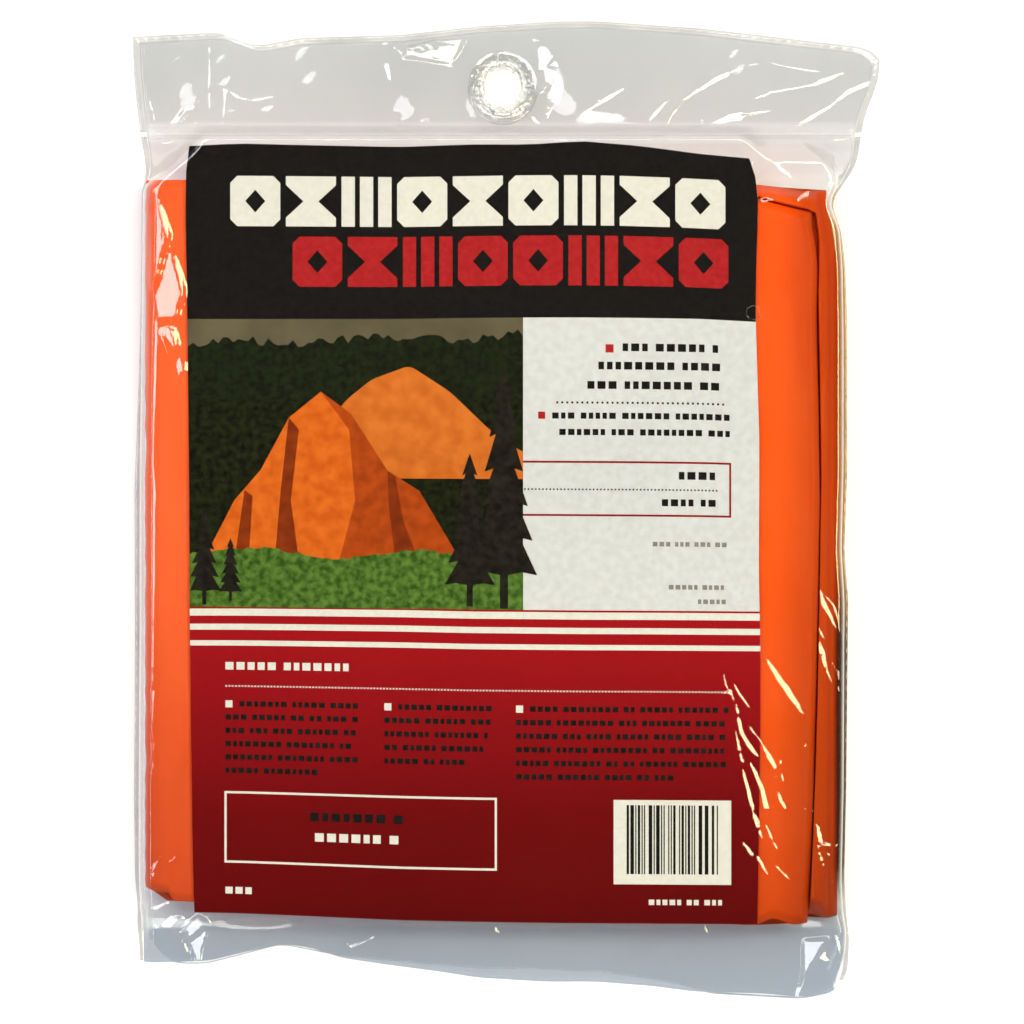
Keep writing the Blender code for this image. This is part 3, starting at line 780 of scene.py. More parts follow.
# Creases of the mouth's lip: (x, y, width)
LIP_PLEATS_PX = (
    ((795, 994, 6), (803, 970, 12), (811, 952, 11), (818, 939, 4)),
    ((816, 994, 2), (822, 965, 3), (828, 940, 2)),
    ((831, 975, 4), (842, 966, 6), (846, 962, 3)),
    ((704, 926, 3), (706, 932, 3)),
    ((248, 945, 2), (249, 928, 3), (250, 915, 2)),
    ((160, 925, 3), (190, 918, 4), (225, 912, 2)),
    ((180, 932, 4), (200, 916, 5), (215, 925, 3)),
    ((182, 932, 4), (190, 950, 6), (197, 962, 4)),
    ((208, 962, 3), (212, 948, 5), (214, 933, 3)),
    ((160, 905, 3), (170, 900, 4), (182, 908, 2)),
    ((496, 928, 4), (499, 934, 3)),
    ((330, 925, 3), (352, 945, 4), (372, 936, 2)),
    ((835, 938, 4), (839, 950, 5), (842, 944, 3)),
)
LIP_FACETS_PX = (
    ((184, 926), (200, 912), (214, 922), (208, 944), (206, 960), (196, 960), (192, 944)),
    ((800, 938), (826, 936), (816, 956), (806, 990), (796, 992), (800, 966)),
    ((158, 925), (176, 912), (186, 916), (176, 928)),
)


SLIMMER = 0.78
LEAST_WIDTH_PX = 2.2
JITTER = 0.00009
JITTER_LENGTH = 0.0035
HEADER_FINE = 0.00040
DENSE_FROM = 0.58
COLUMNS_SPARSE = 190
COLUMNS_DENSE = 230
MOUTH_END = -0.150
MOUTH_FROM = -0.118
LIP_FROM = -0.124
LIP_OVER = 0.006
STREAKS_TO = -0.020
WEDGE_FROM = 0.040
NECK_FROM = 0.094
LEAVES_FROM = NECK_FROM + 0.002
HEADER_LENGTH = 0.036
PACK_MIDDLE_X = -0.010
SIDES_FROM = 0.080
SIDES_OVER = 0.012
SIDES_FALL_SOONER = 0.0075
WALL_STEEPNESS = 0.35
FRONT_LEAST_Z = 0.0004
BACK_LEAST_Z = 0.0001
BACK_LIP_RISE = 0.0006
FILM_RIPPLE = 0.00004

# Where the film's rows change their spacing, and the spacing from there on
ROWS = (
    (MOUTH_END, 0.0007), (MOUTH_FROM, 0.00045), (STREAKS_TO, 0.0018), (WEDGE_FROM, 0.0011),
    (NECK_FROM, 0.0006),
)


def section_columns():
    """The front film across the pack: share from the left wall, offset, share of height, along.

    The columns stand closer together on the right, where the film has its creases."""
    rise = FRONT_HEIGHT - GUSSET_TOP
    foot = GUSSET_TOP - WALL_FOOT
    wide = FILM_HIGH.x - FILM_LOW.x
    angles = np.linspace(0, math.pi / 2, 24)
    left_x = CORNER_LEFT * (1 - np.cos(angles))
    right_x = CORNER_RIGHT * (1 - np.cos(angles))
    corner_z = foot + rise * np.sin(angles)
    walls = np.linspace(0, foot, 12, endpoint=False)
    top = np.linspace(CORNER_LEFT, wide - CORNER_RIGHT, 60)[1:-1]
    x = np.concatenate([0 * walls, left_x, top, wide - right_x[::-1], 0 * walls + wide])
    z = np.concatenate([walls, corner_z, 0 * top + foot + rise, corner_z[::-1], walls[::-1]])
    along = np.concatenate([[0], np.cumsum(np.hypot(np.diff(x), np.diff(z)))])
    shares = np.concatenate([
        np.linspace(0, DENSE_FROM, COLUMNS_SPARSE, endpoint=False),
        np.linspace(DENSE_FROM, 1, COLUMNS_DENSE),
    ])
    even = shares * along[-1]
    x = np.interp(even, along, x)
    z = np.interp(even, along, z)
    share = np.clip((x - CORNER_LEFT) / (wide - CORNER_LEFT - CORNER_RIGHT), 0, 1)
    offset = np.where(x < wide / 2, np.minimum(x, CORNER_LEFT), np.maximum(x - wide, -CORNER_RIGHT))
    middle = CORNER_LEFT + (-CORNER_RIGHT - CORNER_LEFT) * share
    offset = np.where((share > 0) & (share < 1), middle, offset)
    return share, offset, z / (foot + rise), shares


def stations(coarse):
    """y of the film's rows before the hinge, closer together at its creases and its neck."""
    ends = [start for start, _ in ROWS[1:]] + [HINGE[1]]
    return np.concatenate([
        np.arange(start, end, spacing * coarse) for (start, spacing), end in zip(ROWS, ends)
    ])


def at_header(y):
    """0 over the pack, rising to 1 at the header's hinge."""
    return smooth((y - LEAVES_FROM) / (HINGE[1] - LEAVES_FROM))


def at_lip(y):
    """0 over the pack, rising to 1 at the mouth's lip."""
    return smooth((LIP_FROM - y) / LIP_OVER)


def film_plan(coarse, edge_px, body_x, header_share):
    """x and y of a film's grid, from the mouth to the header's top edge."""
    rows = stations(coarse)
    header_rows = np.linspace(0, 1, int(HEADER_LENGTH / (HEADER_FINE * coarse)))
    columns = len(header_share)
    base_y = np.repeat(rows[:, None], columns, axis=1)
    x = body_x(base_y)
    mouth = edge_y(edge_px, x)
    share = (MOUTH_FROM - base_y) / (MOUTH_FROM - MOUTH_END)
    y = np.where(base_y < MOUTH_FROM, MOUTH_FROM + (mouth - MOUTH_FROM) * share, base_y)
    leaving = at_header(base_y)
    x = x * (1 - leaving) + header_x(header_share[None, :], y, SEAM_WIDTH) * leaving
    top = header_top(header_share, SEAM_WIDTH)
    flat_y = HINGE[1] + header_rows[:, None] * (top - HINGE[1])[None, :]
    flat_x = header_x(header_share[None, :], flat_y, SEAM_WIDTH)
    return np.vstack([x, flat_x]), np.vstack([y, flat_y])


def low_z(y):
    """Height of the film's outer edges, which climb to the header along the neck."""
    climb = np.clip((y - NECK_START) / (NECK_END - NECK_START), 0, 1)
    return WALL_FOOT + climb * (HINGE[2] - WALL_FOOT)


def ring_hole(x, y):
    """Moves grid points near the hang hole to its rim, and says which ones stay."""
    wide, long = HOLE_IN_FILM, HOLE_IN_FILM + 0.0016
    reach = np.hypot((x - RING_X) / wide, (y - RING_Y) / long)
    near = (reach > 0.93) & (reach < 1.0)
    pull = np.where(near, 1 / np.maximum(reach, 0.1), 1.0)
    moved_x = RING_X + (x - RING_X) * pull
    moved_y = RING_Y + (y - RING_Y) * pull
    return moved_x, moved_y, (reach >= 0.93).ravel()



def over_card(x, y, margin=0.003):
    """1 over the card and its margin, falling to 0 beside it."""
    inside_x = np.minimum(x - CARD_LOW.x, CARD_HIGH.x - x)
    inside_y = np.minimum(y - CARD_LOW.y, CARD_HIGH.y - y)
    return smooth((np.minimum(inside_x, inside_y) + margin) / margin)


def creased(x, y, strokes_px, facets_px, header=False):
    """The highest of many creases at each point, with the patches on top."""
    x = x + JITTER * ripples(x, y, JITTER_LENGTH, 52)
    y = y + JITTER * ripples(x, y, JITTER_LENGTH, 53)
    tall = np.zeros(x.shape)
    for stroke in strokes_px:
        tall = np.maximum(tall, pleat(x, y, stroke, aims_at(stroke, header)))
    for outline in facets_px:
        tall = np.maximum(tall, facet(x, y, outline, aims_at(outline, header)[-14 if header else -3]))
    return tall


def front_relief(x, y, wall):
    """How far the front film stands off its plain shape."""
    in_header = smooth((y - NECK_END + 0.004) / 0.006)
    soft = in_header * (0.00005 * crumple(x, y, 0.045, 21) + 0.00002 * ripples(x, y, 0.022, 23))
    for stroke, width, tall in HEADER_SOFT_PX:
        soft = soft + ridge(x, y, stroke, width, tall)
    height = soft + creased(x, y, HEADER_PLEATS_PX, HEADER_FACETS_PX, header=True)
    height = height * off_ring(x, y, 1.02, 0.25)
    height = height + creased(x, y, BODY_PLEATS_PX, BODY_FACETS_PX)
    height = height + creased(x, y, LIP_PLEATS_PX, LIP_FACETS_PX)
    beside = (1 - over_card(x, y)) * (1 - in_header)
    height = height + beside * FILM_RIPPLE * ripples(x, 0.35 * y, 0.020, 24)
    neck = smooth((y - 0.1085) / 0.002) * (1 - in_header)
    height = height + neck * FILM_RIPPLE * ripples(1.5 * x, y, 0.012, 30)
    height = height + at_lip(y) * 1.5 * FILM_RIPPLE * ripples(x, y, 0.026, 26)
    height = height + (1 - in_header) * over_card(x, y) * FILM_RIPPLE * ripples(x, y, 0.03, 28)
    floor = -0.0002 - 0.0003 * beside
    height = np.maximum(height, np.where(in_header > 0.5, -0.0001, floor))
    return height * (1 - 0.75 * wall)


def off_ring(x, y, beyond, spread):
    """0 under the ring, rising to 1 round it."""
    return smooth((ring_reach(x, y) - beyond) / spread)


def add_front_film():
    """The bag's front from the mouth, over the pack and its walls, to the header's top edge."""
    share, offset, height_share, along = section_columns()

    def body_x(y):
        return edge_x(LEFT_WALL_PX, y) * (1 - share) + edge_x(RIGHT_WALL_PX, y) * share + offset

    x, y = film_plan(1.0, FRONT_EDGE_PX, body_x, along)
    x, y, keep = ring_hole(x, y)
    side = smooth((np.abs(x - PACK_MIDDLE_X) - SIDES_FROM) / SIDES_OVER)
    falls_from = FILM_FALLS_FROM - side * SIDES_FALL_SOONER
    base = plane_z(y) + STACK_HALF
    down = smooth((y - falls_from) / (FILM_LANDS_AT - falls_from))
    crown = base + (FRONT_HEIGHT - base) * (1 - down)
    low = np.minimum(low_z(y), base)
    z = low + (crown - low) * height_share[None, :]
    z = np.where(y > FILM_LANDS_AT, base, z)
    up = normals(x, y, z)
    wall = (np.abs(up[2]) < WALL_STEEPNESS).astype(float)
    tall = front_relief(x, y, wall) + header_wave(x, y)
    x, y, z = x + up[0] * tall, y + up[1] * tall, z + up[2] * tall
    nodes = "bag_front_film", "header_front_film", "bag_left_gusset", "bag_right_gusset"
    add_film("bag_front_skin", x, y, np.maximum(z, FRONT_LEAST_Z), keep, CLEAR, *nodes)


def add_back_film():
    """The bag's back, flat under the pack, up the neck and along the header."""
    even = np.linspace(0, 1, 150)

    def body_x(y):
        left = edge_x(LEFT_WALL_PX, y)
        return left + (edge_x(RIGHT_WALL_PX, y) - left) * even

    x, y = film_plan(2.2, BACK_EDGE_PX, body_x, even)
    x, y, keep = ring_hole(x, y)
    climb = np.clip((y - NECK_START) / (NECK_END - NECK_START), 0, 1)
    header = plane_z(y) - STACK_HALF
    z = np.where(y < NECK_END, BACK_HEIGHT + climb * (HINGE[2] - STACK_HALF - BACK_HEIGHT), header)
    lip_rise = BACK_LIP_RISE * (1 + 0.2 * ripples(x, y, 0.028, 31))
    z = z + header_wave(x, y) + at_lip(y) * lip_rise
    in_header = smooth((y - HINGE[1]) / 0.008)
    z = z - 0.00025 * in_header * off_ring(x, y, 1.02, 0.35) * (1 + ripples(x, y, 0.02, 32))
    z = np.maximum(z, BACK_LEAST_Z + SKIN / 2)
    add_film("bag_back_skin", x, y, z, keep, CLEAR_BACK, "bag_back_film", "header_back_film")


# Welds
BEAD_SHARES = np.array([0.0, 0.08, 0.3, 0.5, 0.7, 0.92, 1.0])
BEAD_HEIGHTS = np.array([0.4, 1.0, 0.55, 1.0, 0.55, 1.0, 0.4])


def weld_strip(name, outer, inner, z, half, finish=WELD):
    """A flat strip between an outer and an inner line, with two pressed beads along it."""
    outer, inner = np.stack(outer, axis=1)[:, None], np.stack(inner, axis=1)[:, None]
    share = np.append(BEAD_SHARES, BEAD_SHARES[::-1])
    press = 1 + 0.18 * np.sin(1.9 * np.arange(len(z)))[:, None]
    over = half * BEAD_HEIGHTS * press
    under = -half * BEAD_HEIGHTS[::-1] + 0 * press
    plan = outer + (inner - outer) * share[:, None]
    return closed_loops(name, np.dstack([plan, z[:, None] + np.hstack([over, under])]), finish)


def add_side_welds():
    """The two side welds, which lie on the table and climb the neck."""
    y = np.concatenate([np.arange(-0.1455, NECK_START, 0.0012), np.linspace(NECK_START, 0.1135, 16)])
    for end, wall_px, edge_px, side, start in (
        ("left", LEFT_WALL_PX, LEFT_EDGE_PX, 0.0, -0.1385),
        ("right", RIGHT_WALL_PX, RIGHT_EDGE_PX, 1.0, -0.1455),
    ):
        sign = 1 - 2 * side
        rows = y[y > start]
        wall = edge_x(wall_px, rows)
        leaving = at_header(rows)
        inner_x = wall + (header_x(side, rows, SEAM_WIDTH) - wall) * leaving - sign * 0.0002
        edge = edge_x(edge_px, rows)
        outer_x = edge + (header_x(side, rows, 0) - edge) * leaving
        outer_x = inner_x - sign * np.maximum(sign * (inner_x - outer_x), 0.0009)
        z = np.maximum(low_z(rows) - 0.00015, 0.00045)
        strip = weld_strip(f"{end}_weld", (outer_x, rows), (inner_x, rows), z, 0.00028)
        dress(strip, "bag", "film_weld", f"bag_{end}_weld")


def add_header_seam():
    """The melted edge of the header, from the left end of its hinge round to the right."""
    side = np.linspace(0.01, 1, 36)[:-1]
    across = np.linspace(0, 1, 220)
    share = np.concatenate([0 * side, across, 0 * side + 1])
    rise = np.concatenate([side, 0 * across + 1, side[::-1]])

    def line(inset):
        y = HINGE[1] + rise * (header_top(share, inset) - HINGE[1])
        return header_x(share, y, inset), y

    outer_x, outer_y = line(0.0)
    outer_x = np.clip(outer_x, SEAM_LOW.x, SEAM_HIGH.x)
    outer_y = np.minimum(outer_y, SEAM_HIGH.y)
    z = np.maximum(plane_z(outer_y) + header_wave(outer_x, outer_y), 0.0006)
    seam = weld_strip("header_edge_seam", (outer_x, outer_y), line(SEAM_WIDTH - 0.0001), z, 0.00045)
    dress(seam, "header", "film_weld", "header_seam")


def add_cross_weld():
    """The weld across the neck, where the header folds."""
    x = np.linspace(CROSS_LOW.x + 0.003, CROSS_HIGH.x - 0.003, 150)
    y = 0 * x + (CROSS_LOW.y + CROSS_HIGH.y) / 2
    half = (CROSS_HIGH.y - CROSS_LOW.y) / 2
    z = 0 * x + HINGE[2]
    strip = weld_strip("neck_cross_weld", (x, y + half), (x, y - half), z, 0.0002, SOFT_WELD)
    dress(strip, "bag", "film_weld", "bag_cross_weld")


# The hang ring
HOLE_HALF_X = 0.0053
HOLE_HALF_Y = 0.0062
FLANGE = 0.0052
RING_STEPS = 144
RING_SEAT = STACK_HALF + 0.00035
RING_COLLAR = 0.0011


def ring_half(end, profile, crazing):
    """One half of the ring, swept round the hole and leaned with the header."""
    chance = random.Random(5)
    facets = [[chance.uniform(-1, 1) for _ in range(40)] for _ in range(48)]
    rings = []
    for step in range(RING_STEPS):
        angle = math.tau * step / RING_STEPS
        ring = []
        for index, (offset, height) in enumerate(profile):
            cell = facets[(step // 4) % 48][index // 3]
            up = height + crazing * cell * math.sin(math.pi * min(max(offset / FLANGE, 0), 1))
            x = RING_X + (HOLE_HALF_X + offset) * math.cos(angle)
            along = (HOLE_HALF_Y + offset) * math.sin(angle)
            y = RING_Y + along * math.cos(HEADER_TILT) + up * math.sin(HEADER_TILT)
            z = plane_z(RING_Y) - along * math.sin(HEADER_TILT) + up * math.cos(HEADER_TILT)
            ring.append((x, y, z))
        rings.append(ring)
    item = closed_loops(f"ring_{end}", rings, RING, capped=False)
    item.data.shade_flat()
    dress(item, "header", "clear_ring", f"hang_ring_{end}")


def add_ring():
    """The clear ring: a front half with a raised inner rim and a thin back half."""
    shares = np.linspace(0, 1, 18)
    inner_rim = 0.75 * np.exp(-((shares - 0.14) / 0.20) ** 2)
    outer_rim = 0.28 * np.exp(-((shares - 0.80) / 0.14) ** 2)
    crown = RING_SEAT + 0.0022 * (0.25 + inner_rim + outer_rim)
    front = [(0.0, -RING_SEAT), *zip(0.0003 + (FLANGE - 0.0003) * shares, crown)]
    front += [(FLANGE, RING_SEAT), (RING_COLLAR, RING_SEAT), (RING_COLLAR, -RING_SEAT)]
    ring_half("front", front, 0.00045)
    low = -RING_SEAT - 0.0001
    back = [(0.0, low), (FLANGE, low), (FLANGE + 0.0001, low - 0.0003)]
    back += [(FLANGE * share, low - 0.00055) for share in np.linspace(0.95, 0.05, 12)]
    back += [(0.0, low - 0.0004)]
    ring_half("back", back, 0.00006)


VENT_PX = ((752, 314),)
VENT_RADIUS = 0.0021
VENT_RIM = 0.00012


def add_vent_rim():
    """The thin raised rim of the small vent hole in the front film; the film under the rim is not cut."""
    centre_x, centre_y = place(VENT_PX)
    turn = np.linspace(0, math.tau, 72, endpoint=False)[:, None]
    around = np.linspace(0, math.tau, 8, endpoint=False)[None, :]
    reach = VENT_RADIUS + VENT_RIM * np.cos(around)
    height = FRONT_HEIGHT + 0.00022 + VENT_RIM * np.sin(around) + 0 * turn
    rings = np.dstack([centre_x + reach * np.cos(turn), centre_y + reach * np.sin(turn), height])
    rim = closed_loops("vent_hole_rim", rings, WELD, capped=False)
    dress(rim, "bag", "clear_film")


# The folded tent
SLIT_LOW = 0.0103
SLIT_HIGH = 0.0106
TENT_EDGE_PX = (
    (827, 180), (827, 189), (834, 224), (838, 254), (839, 294), (839, 470), (837, 550), (840, 600),
    (838, 900),
)
UPPER_EDGE_PX = (
    (811, 205), (814, 216), (817, 240), (816, 300), (818, 400), (819, 480), (817, 600), (815, 700),
    (813, 768), (811, 827), (808, 890), (806, 925),
)
UPPER_TOP_PX = (
    (140, 179), (160, 178), (188, 175), (200, 182), (500, 190), (740, 196), (756, 199), (773, 204),
    (793, 209), (807, 212), (816, 216),
)
LOWER_TOP_PX = (
    (140, 180), (500, 182), (754, 183), (773, 186), (800, 190), (808, 191), (827, 189), (838, 191),
)
UPPER_FOOT_PX = (
    (139, 882), (148, 897), (160, 899), (194, 901), (500, 915), (740, 921), (757, 926), (770, 915),
    (785, 922), (800, 925), (806, 920),
)
LOWER_FOOT_PX = ((139, 882), (500, 905), (757, 915), (800, 916), (815, 914), (828, 922), (838, 914))

# Creases of the tent's film: stroke, width and height
TENT_CREASES_PX = (
    (((827, 190), (820, 202), (813, 213)), 0.0011, 0.0008),
    (((757, 200), (777, 201), (792, 206)), 0.0010, 0.0005),
    (((806, 197), (796, 209)), 0.0007, 0.0005),
    (((800, 197), (789, 207)), 0.0007, 0.0004),
    (((779, 708), (787, 768), (791, 808), (794, 840)), 0.0016, 0.0005),
    (((768, 700), (772, 800), (770, 900)), 0.0020, 0.0004),
    (((826, 700), (829, 800), (831, 900)), 0.0012, 0.0006),
    (((822, 300), (826, 400), (824, 520)), 0.0016, 0.0005),
    (((162, 340), (175, 420), (170, 560)), 0.0022, 0.0004),
    (((158, 640), (166, 760), (162, 860)), 0.0020, 0.0005),
    (((190, 700), (172, 830), (150, 880)), 0.0014, 0.0005),
    (((768, 330), (790, 420), (784, 520)), 0.0024, 0.0004),
)
TENT_RADIUS = (TENT_HIGH.z - TENT_LOW.z) / 2
TENT_TOP = TENT_HIGH.z - 0.0004
SPINE_X = TENT_LOW.x + TENT_RADIUS
UPPER_HALF = (TENT_TOP - SLIT_HIGH) / 2
UPPER_MIDDLE = SLIT_HIGH + UPPER_HALF
LOWER_HALF = (SLIT_LOW - TENT_LOW.z) / 2
LOWER_MIDDLE = TENT_LOW.z + LOWER_HALF
UPPER_ROUND = 0.0030
LOWER_ROUND = 0.0040
END_ROUND = 0.0032
FOOT_SHARE = 0.035
HEAD_SHARE = 0.955
PUFF_FROM = 0.00015
PUFF_OVER = 0.00045
FOOT_ROOM = 0.006
HEAD_ROOM = 0.0035
SIDE_ROOM = 0.008
GAP_UNDER_FILM = 0.0012
MOST_BULGE = 0.0074
CREASES_FROM = -0.0008


def tent_edge(edge_px, foot_px, top_px, along):
    """A packet's right edge at each row, from its foot to its head."""
    foot, head = edge_y(foot_px, np.zeros(1)), edge_y(top_px, np.zeros(1))
    return edge_x(edge_px, foot + (head - foot) * along)[:, None]


def tent_strips(upper_right, lower_right):
    """The tent's section as strips in one loop: x, z, its packet's middle and its upper share."""
    upper_margin, lower_margin = upper_right - UPPER_ROUND, lower_right - LOWER_ROUND
    inner = SPINE_X - 0.002
    groove = np.minimum(upper_right + 0.0012, lower_margin - 0.0004)
    hidden = upper_right - 0.0010
    turn = np.linspace(-math.pi / 2, math.pi / 2, 14)[None, 1:-1]
    spine = np.linspace(0, math.pi, 26)[None, 1:-1]
    spine_half = (TENT_TOP - TENT_LOW.z) / 2

    def run(start, end, steps, power=1.0, whole=True):
        return start + (end - start) * np.linspace(0, 1, steps, endpoint=whole)[None, :] ** power

    def strip(x, z, middle, upper):
        return np.broadcast_arrays(x + 0 * upper_right, z, middle, upper)

    spine_z = TENT_LOW.z + spine_half + spine_half * np.cos(spine)
    spine_middle = UPPER_MIDDLE + (LOWER_MIDDLE - UPPER_MIDDLE) * (0.5 - 0.5 * np.cos(spine))
    upper_end = upper_margin + UPPER_ROUND * np.cos(turn), UPPER_MIDDLE + UPPER_HALF * np.sin(turn)
    lower_end = lower_margin + LOWER_ROUND * np.cos(turn), LOWER_MIDDLE + LOWER_HALF * np.sin(turn)
    covered = run(lower_margin, groove, 26, 1.0, False), run(groove, hidden, 18, 1.0, False)
    return {
        "slit_top": strip(run(inner, upper_margin, 26), SLIT_HIGH, UPPER_MIDDLE, 1.0),
        "upper_end": strip(*upper_end, UPPER_MIDDLE, 1.0),
        "top": strip(run(upper_margin, SPINE_X, 190), TENT_TOP, UPPER_MIDDLE, 1.0),
        "spine": strip(SPINE_X - TENT_RADIUS * np.sin(spine) ** 0.8, spine_z, spine_middle, 0.5),
        "bottom": strip(run(SPINE_X, lower_margin, 110), TENT_LOW.z, LOWER_MIDDLE, 0.0),
        "lower_end": strip(*lower_end, LOWER_MIDDLE, 0.0),
        "lower_top": strip(
            np.hstack([*covered, run(hidden, inner, 60, 1.3)]), SLIT_LOW, LOWER_MIDDLE, 0.0,
        ),
    }


def add_tent():
    """One sheet of folded film: a lower packet, a spine on the left and an upper packet."""
    foot_rows, head_rows = np.linspace(0, FOOT_SHARE, 26), np.linspace(HEAD_SHARE, 1, 44)
    along = np.concatenate([foot_rows, np.linspace(FOOT_SHARE, HEAD_SHARE, 150)[1:-1], head_rows])
    upper_right = tent_edge(UPPER_EDGE_PX, UPPER_FOOT_PX, UPPER_TOP_PX, along)
    lower_right = np.minimum(tent_edge(TENT_EDGE_PX, LOWER_FOOT_PX, LOWER_TOP_PX, along), TENT_HIGH.x)
    strips = tent_strips(upper_right, lower_right)
    x, z, centre, upper = (np.hstack([strip[index] for strip in strips.values()]) for index in range(4))
    ends = dict(zip(strips, np.cumsum([strip[0].shape[1] for strip in strips.values()])))
    spans = {name: slice(ends[name] - strip[0].shape[1], ends[name]) for name, strip in strips.items()}
    top, bottom, lower_top = spans["top"], spans["bottom"], spans["lower_top"]

    foot = upper * edge_y(UPPER_FOOT_PX, x) + (1 - upper) * edge_y(LOWER_FOOT_PX, x)
    head = upper * edge_y(UPPER_TOP_PX, x, 0.0012) + (1 - upper) * edge_y(LOWER_TOP_PX, x, 0.0012)
    head = np.minimum(head, TENT_HIGH.y)
    y = foot + (head - foot) * along[:, None]
    end = np.clip(np.minimum(y - foot, head - y) / END_ROUND, 0, 1)
    squeeze = np.sqrt(np.clip(1 - (1 - end) ** 2, 0.012, 1))
    z = centre + (z - centre) * squeeze

    beyond = np.maximum(x - edge_x(UPPER_EDGE_PX, y), y - edge_y(UPPER_TOP_PX, x, 0.0012))
    end_room = np.minimum(smooth((y - foot) / FOOT_ROOM), smooth((head - y) / HEAD_ROOM))
    puff = smooth((beyond - PUFF_FROM) / PUFF_OVER) * end_room
    side_room = np.clip((lower_right - x) / SIDE_ROOM, 0, 1)
    film_room = FRONT_HEIGHT - GAP_UNDER_FILM - SLIT_LOW
    bulge = film_room * np.sqrt(side_room) * (0.84 + 0.05 * ripples(x, y, 0.03, 41))
    z[:, lower_top] += (puff * np.minimum(bulge, MOST_BULGE))[:, lower_top]

    creases = 0.0005 * ripples(2.2 * x, 0.5 * y, 0.030, 42) + 0.0003 * crumple(1.5 * x, 0.6 * y, 0.03, 43)
    for stroke, width, tall in TENT_CREASES_PX:
        creases = creases - ridge(x, y, stroke, width, tall)
    sunk = 0.8 * np.maximum(creases - CREASES_FROM, 0) * smooth((squeeze - 0.3) / 0.5)
    z[:, top] -= sunk[:, top]
    z[:, lower_top] -= (sunk * puff)[:, lower_top]
    over_hank = (x > HANK_LOW.x - 0.0012) & (x < HANK_HIGH.x + 0.0008) & (y < HANK_HIGH.y + 0.0012)
    raised = np.where(over_hank, np.maximum(z, HANK_HIGH.z + 0.0014), z)
    z[:, bottom] = raised[:, bottom]

    x = x + np.abs(0.00035 * ripples(0.6 * x, y, 0.012, 44) * (upper == 0.5))
    tent = closed_loops("folded_tent_film", np.dstack([x, y, z]), tent_material())
    dress(tent, "tent", "orange_film", "folded_tent")


# The rope hank, whose route repeats the frame's
ROPE_LENGTH = 7.62
ROPE_DIAMETER = 0.003
HANK_LOOPS = 22
HANK_INNER_RADIUS = 0.0045
LOOP_STEP = 0.0039
LAYER_STEP = 0.0035
WAIST_SHARE = 0.1
HANK_OFFSET = -0.006
HANK_FROM_CENTRE = -0.012
RUN_POINTS = 4
END_POINTS = 8
HANK_BOTTOM = 0.0019
BRAID_PITCH = 0.0096
TIE_THICK = 0.0005


def hank_points(per_point):
    """The rope's centre line: out in the lower layer, up along a run, in again above."""
    run_steps, end_steps = RUN_POINTS * per_point, END_POINTS * per_point
    loop_points = 2 * run_steps + 2 * end_steps
    outer = HANK_INNER_RADIUS + LOOP_STEP * HANK_LOOPS / 2
    run = (ROPE_LENGTH / HANK_LOOPS - math.pi * (HANK_INNER_RADIUS + outer)) / 2
    layer_turns = HANK_LOOPS / 2
    climb_turns = run_steps / loop_points
    points = []
    for count in range(HANK_LOOPS * loop_points + 1):
        turns = count / loop_points
        step = count % loop_points
        side = 1 if step < loop_points / 2 else -1
        above = max(turns - layer_turns - climb_turns, 0)
        radius = outer - LOOP_STEP * (max(layer_turns - turns, 0) + above)
        step = step % (run_steps + end_steps)
        if step < run_steps:
            x = radius
            y = run * (step / run_steps - 0.5)
        else:
            angle = math.pi * (step - run_steps) / end_steps
            x = radius * math.cos(angle)
            y = run / 2 + radius * math.sin(angle)
        climbed = min(max((turns - layer_turns) / climb_turns, 0), 1)
        height = HANK_BOTTOM + ROPE_DIAMETER / 2 + LAYER_STEP * climbed * climbed * (3 - 2 * climbed)
        waist = 1 - WAIST_SHARE * math.cos(math.pi / 2 * y / (run / 2 + outer)) ** 2
        points.append((HANK_OFFSET + side * x * waist, HANK_FROM_CENTRE + side * y, height))
    return points


def even_points(points, spacing):
    """The same line with points at an even spacing, and how far along it each one is."""
    line = np.array(points)
    steps = np.linalg.norm(np.diff(line, axis=0), axis=1)
    along = np.concatenate([[0], np.cumsum(steps)])
    wanted = np.linspace(0, along[-1], int(along[-1] / spacing) + 1)
    return np.stack([np.interp(wanted, along, line[:, axis]) for axis in range(3)], axis=1), wanted


def add_rope():
    """The rope as a braided tube along its whole route."""
    line, along = even_points(hank_points(4), 0.0012)
    forward = np.gradient(line, axis=0)
    forward = forward / np.linalg.norm(forward, axis=1)[:, None]
    beside = np.cross(forward, np.array([0.0, 0.0, 1.0]))
    beside = beside / np.linalg.norm(beside, axis=1)[:, None]
    over = np.cross(beside, forward)
    angles = np.linspace(0, math.tau, 12, endpoint=False)
    twist = along[:, None] / BRAID_PITCH * math.tau
    strands = np.maximum(np.cos(4 * angles + twist), np.cos(4 * angles - twist))
    radius = ROPE_DIAMETER / 2 * (0.95 + 0.05 * strands)
    rings = (
        line[:, None, :]
        + beside[:, None, :] * (radius * np.cos(angles))[:, :, None]
        + over[:, None, :] * (radius * np.sin(angles))[:, :, None]
    )
    rope = closed_loops("rope_braid", rings, rope_material())
    dress(rope, "rope", "rope", "rope_hank")


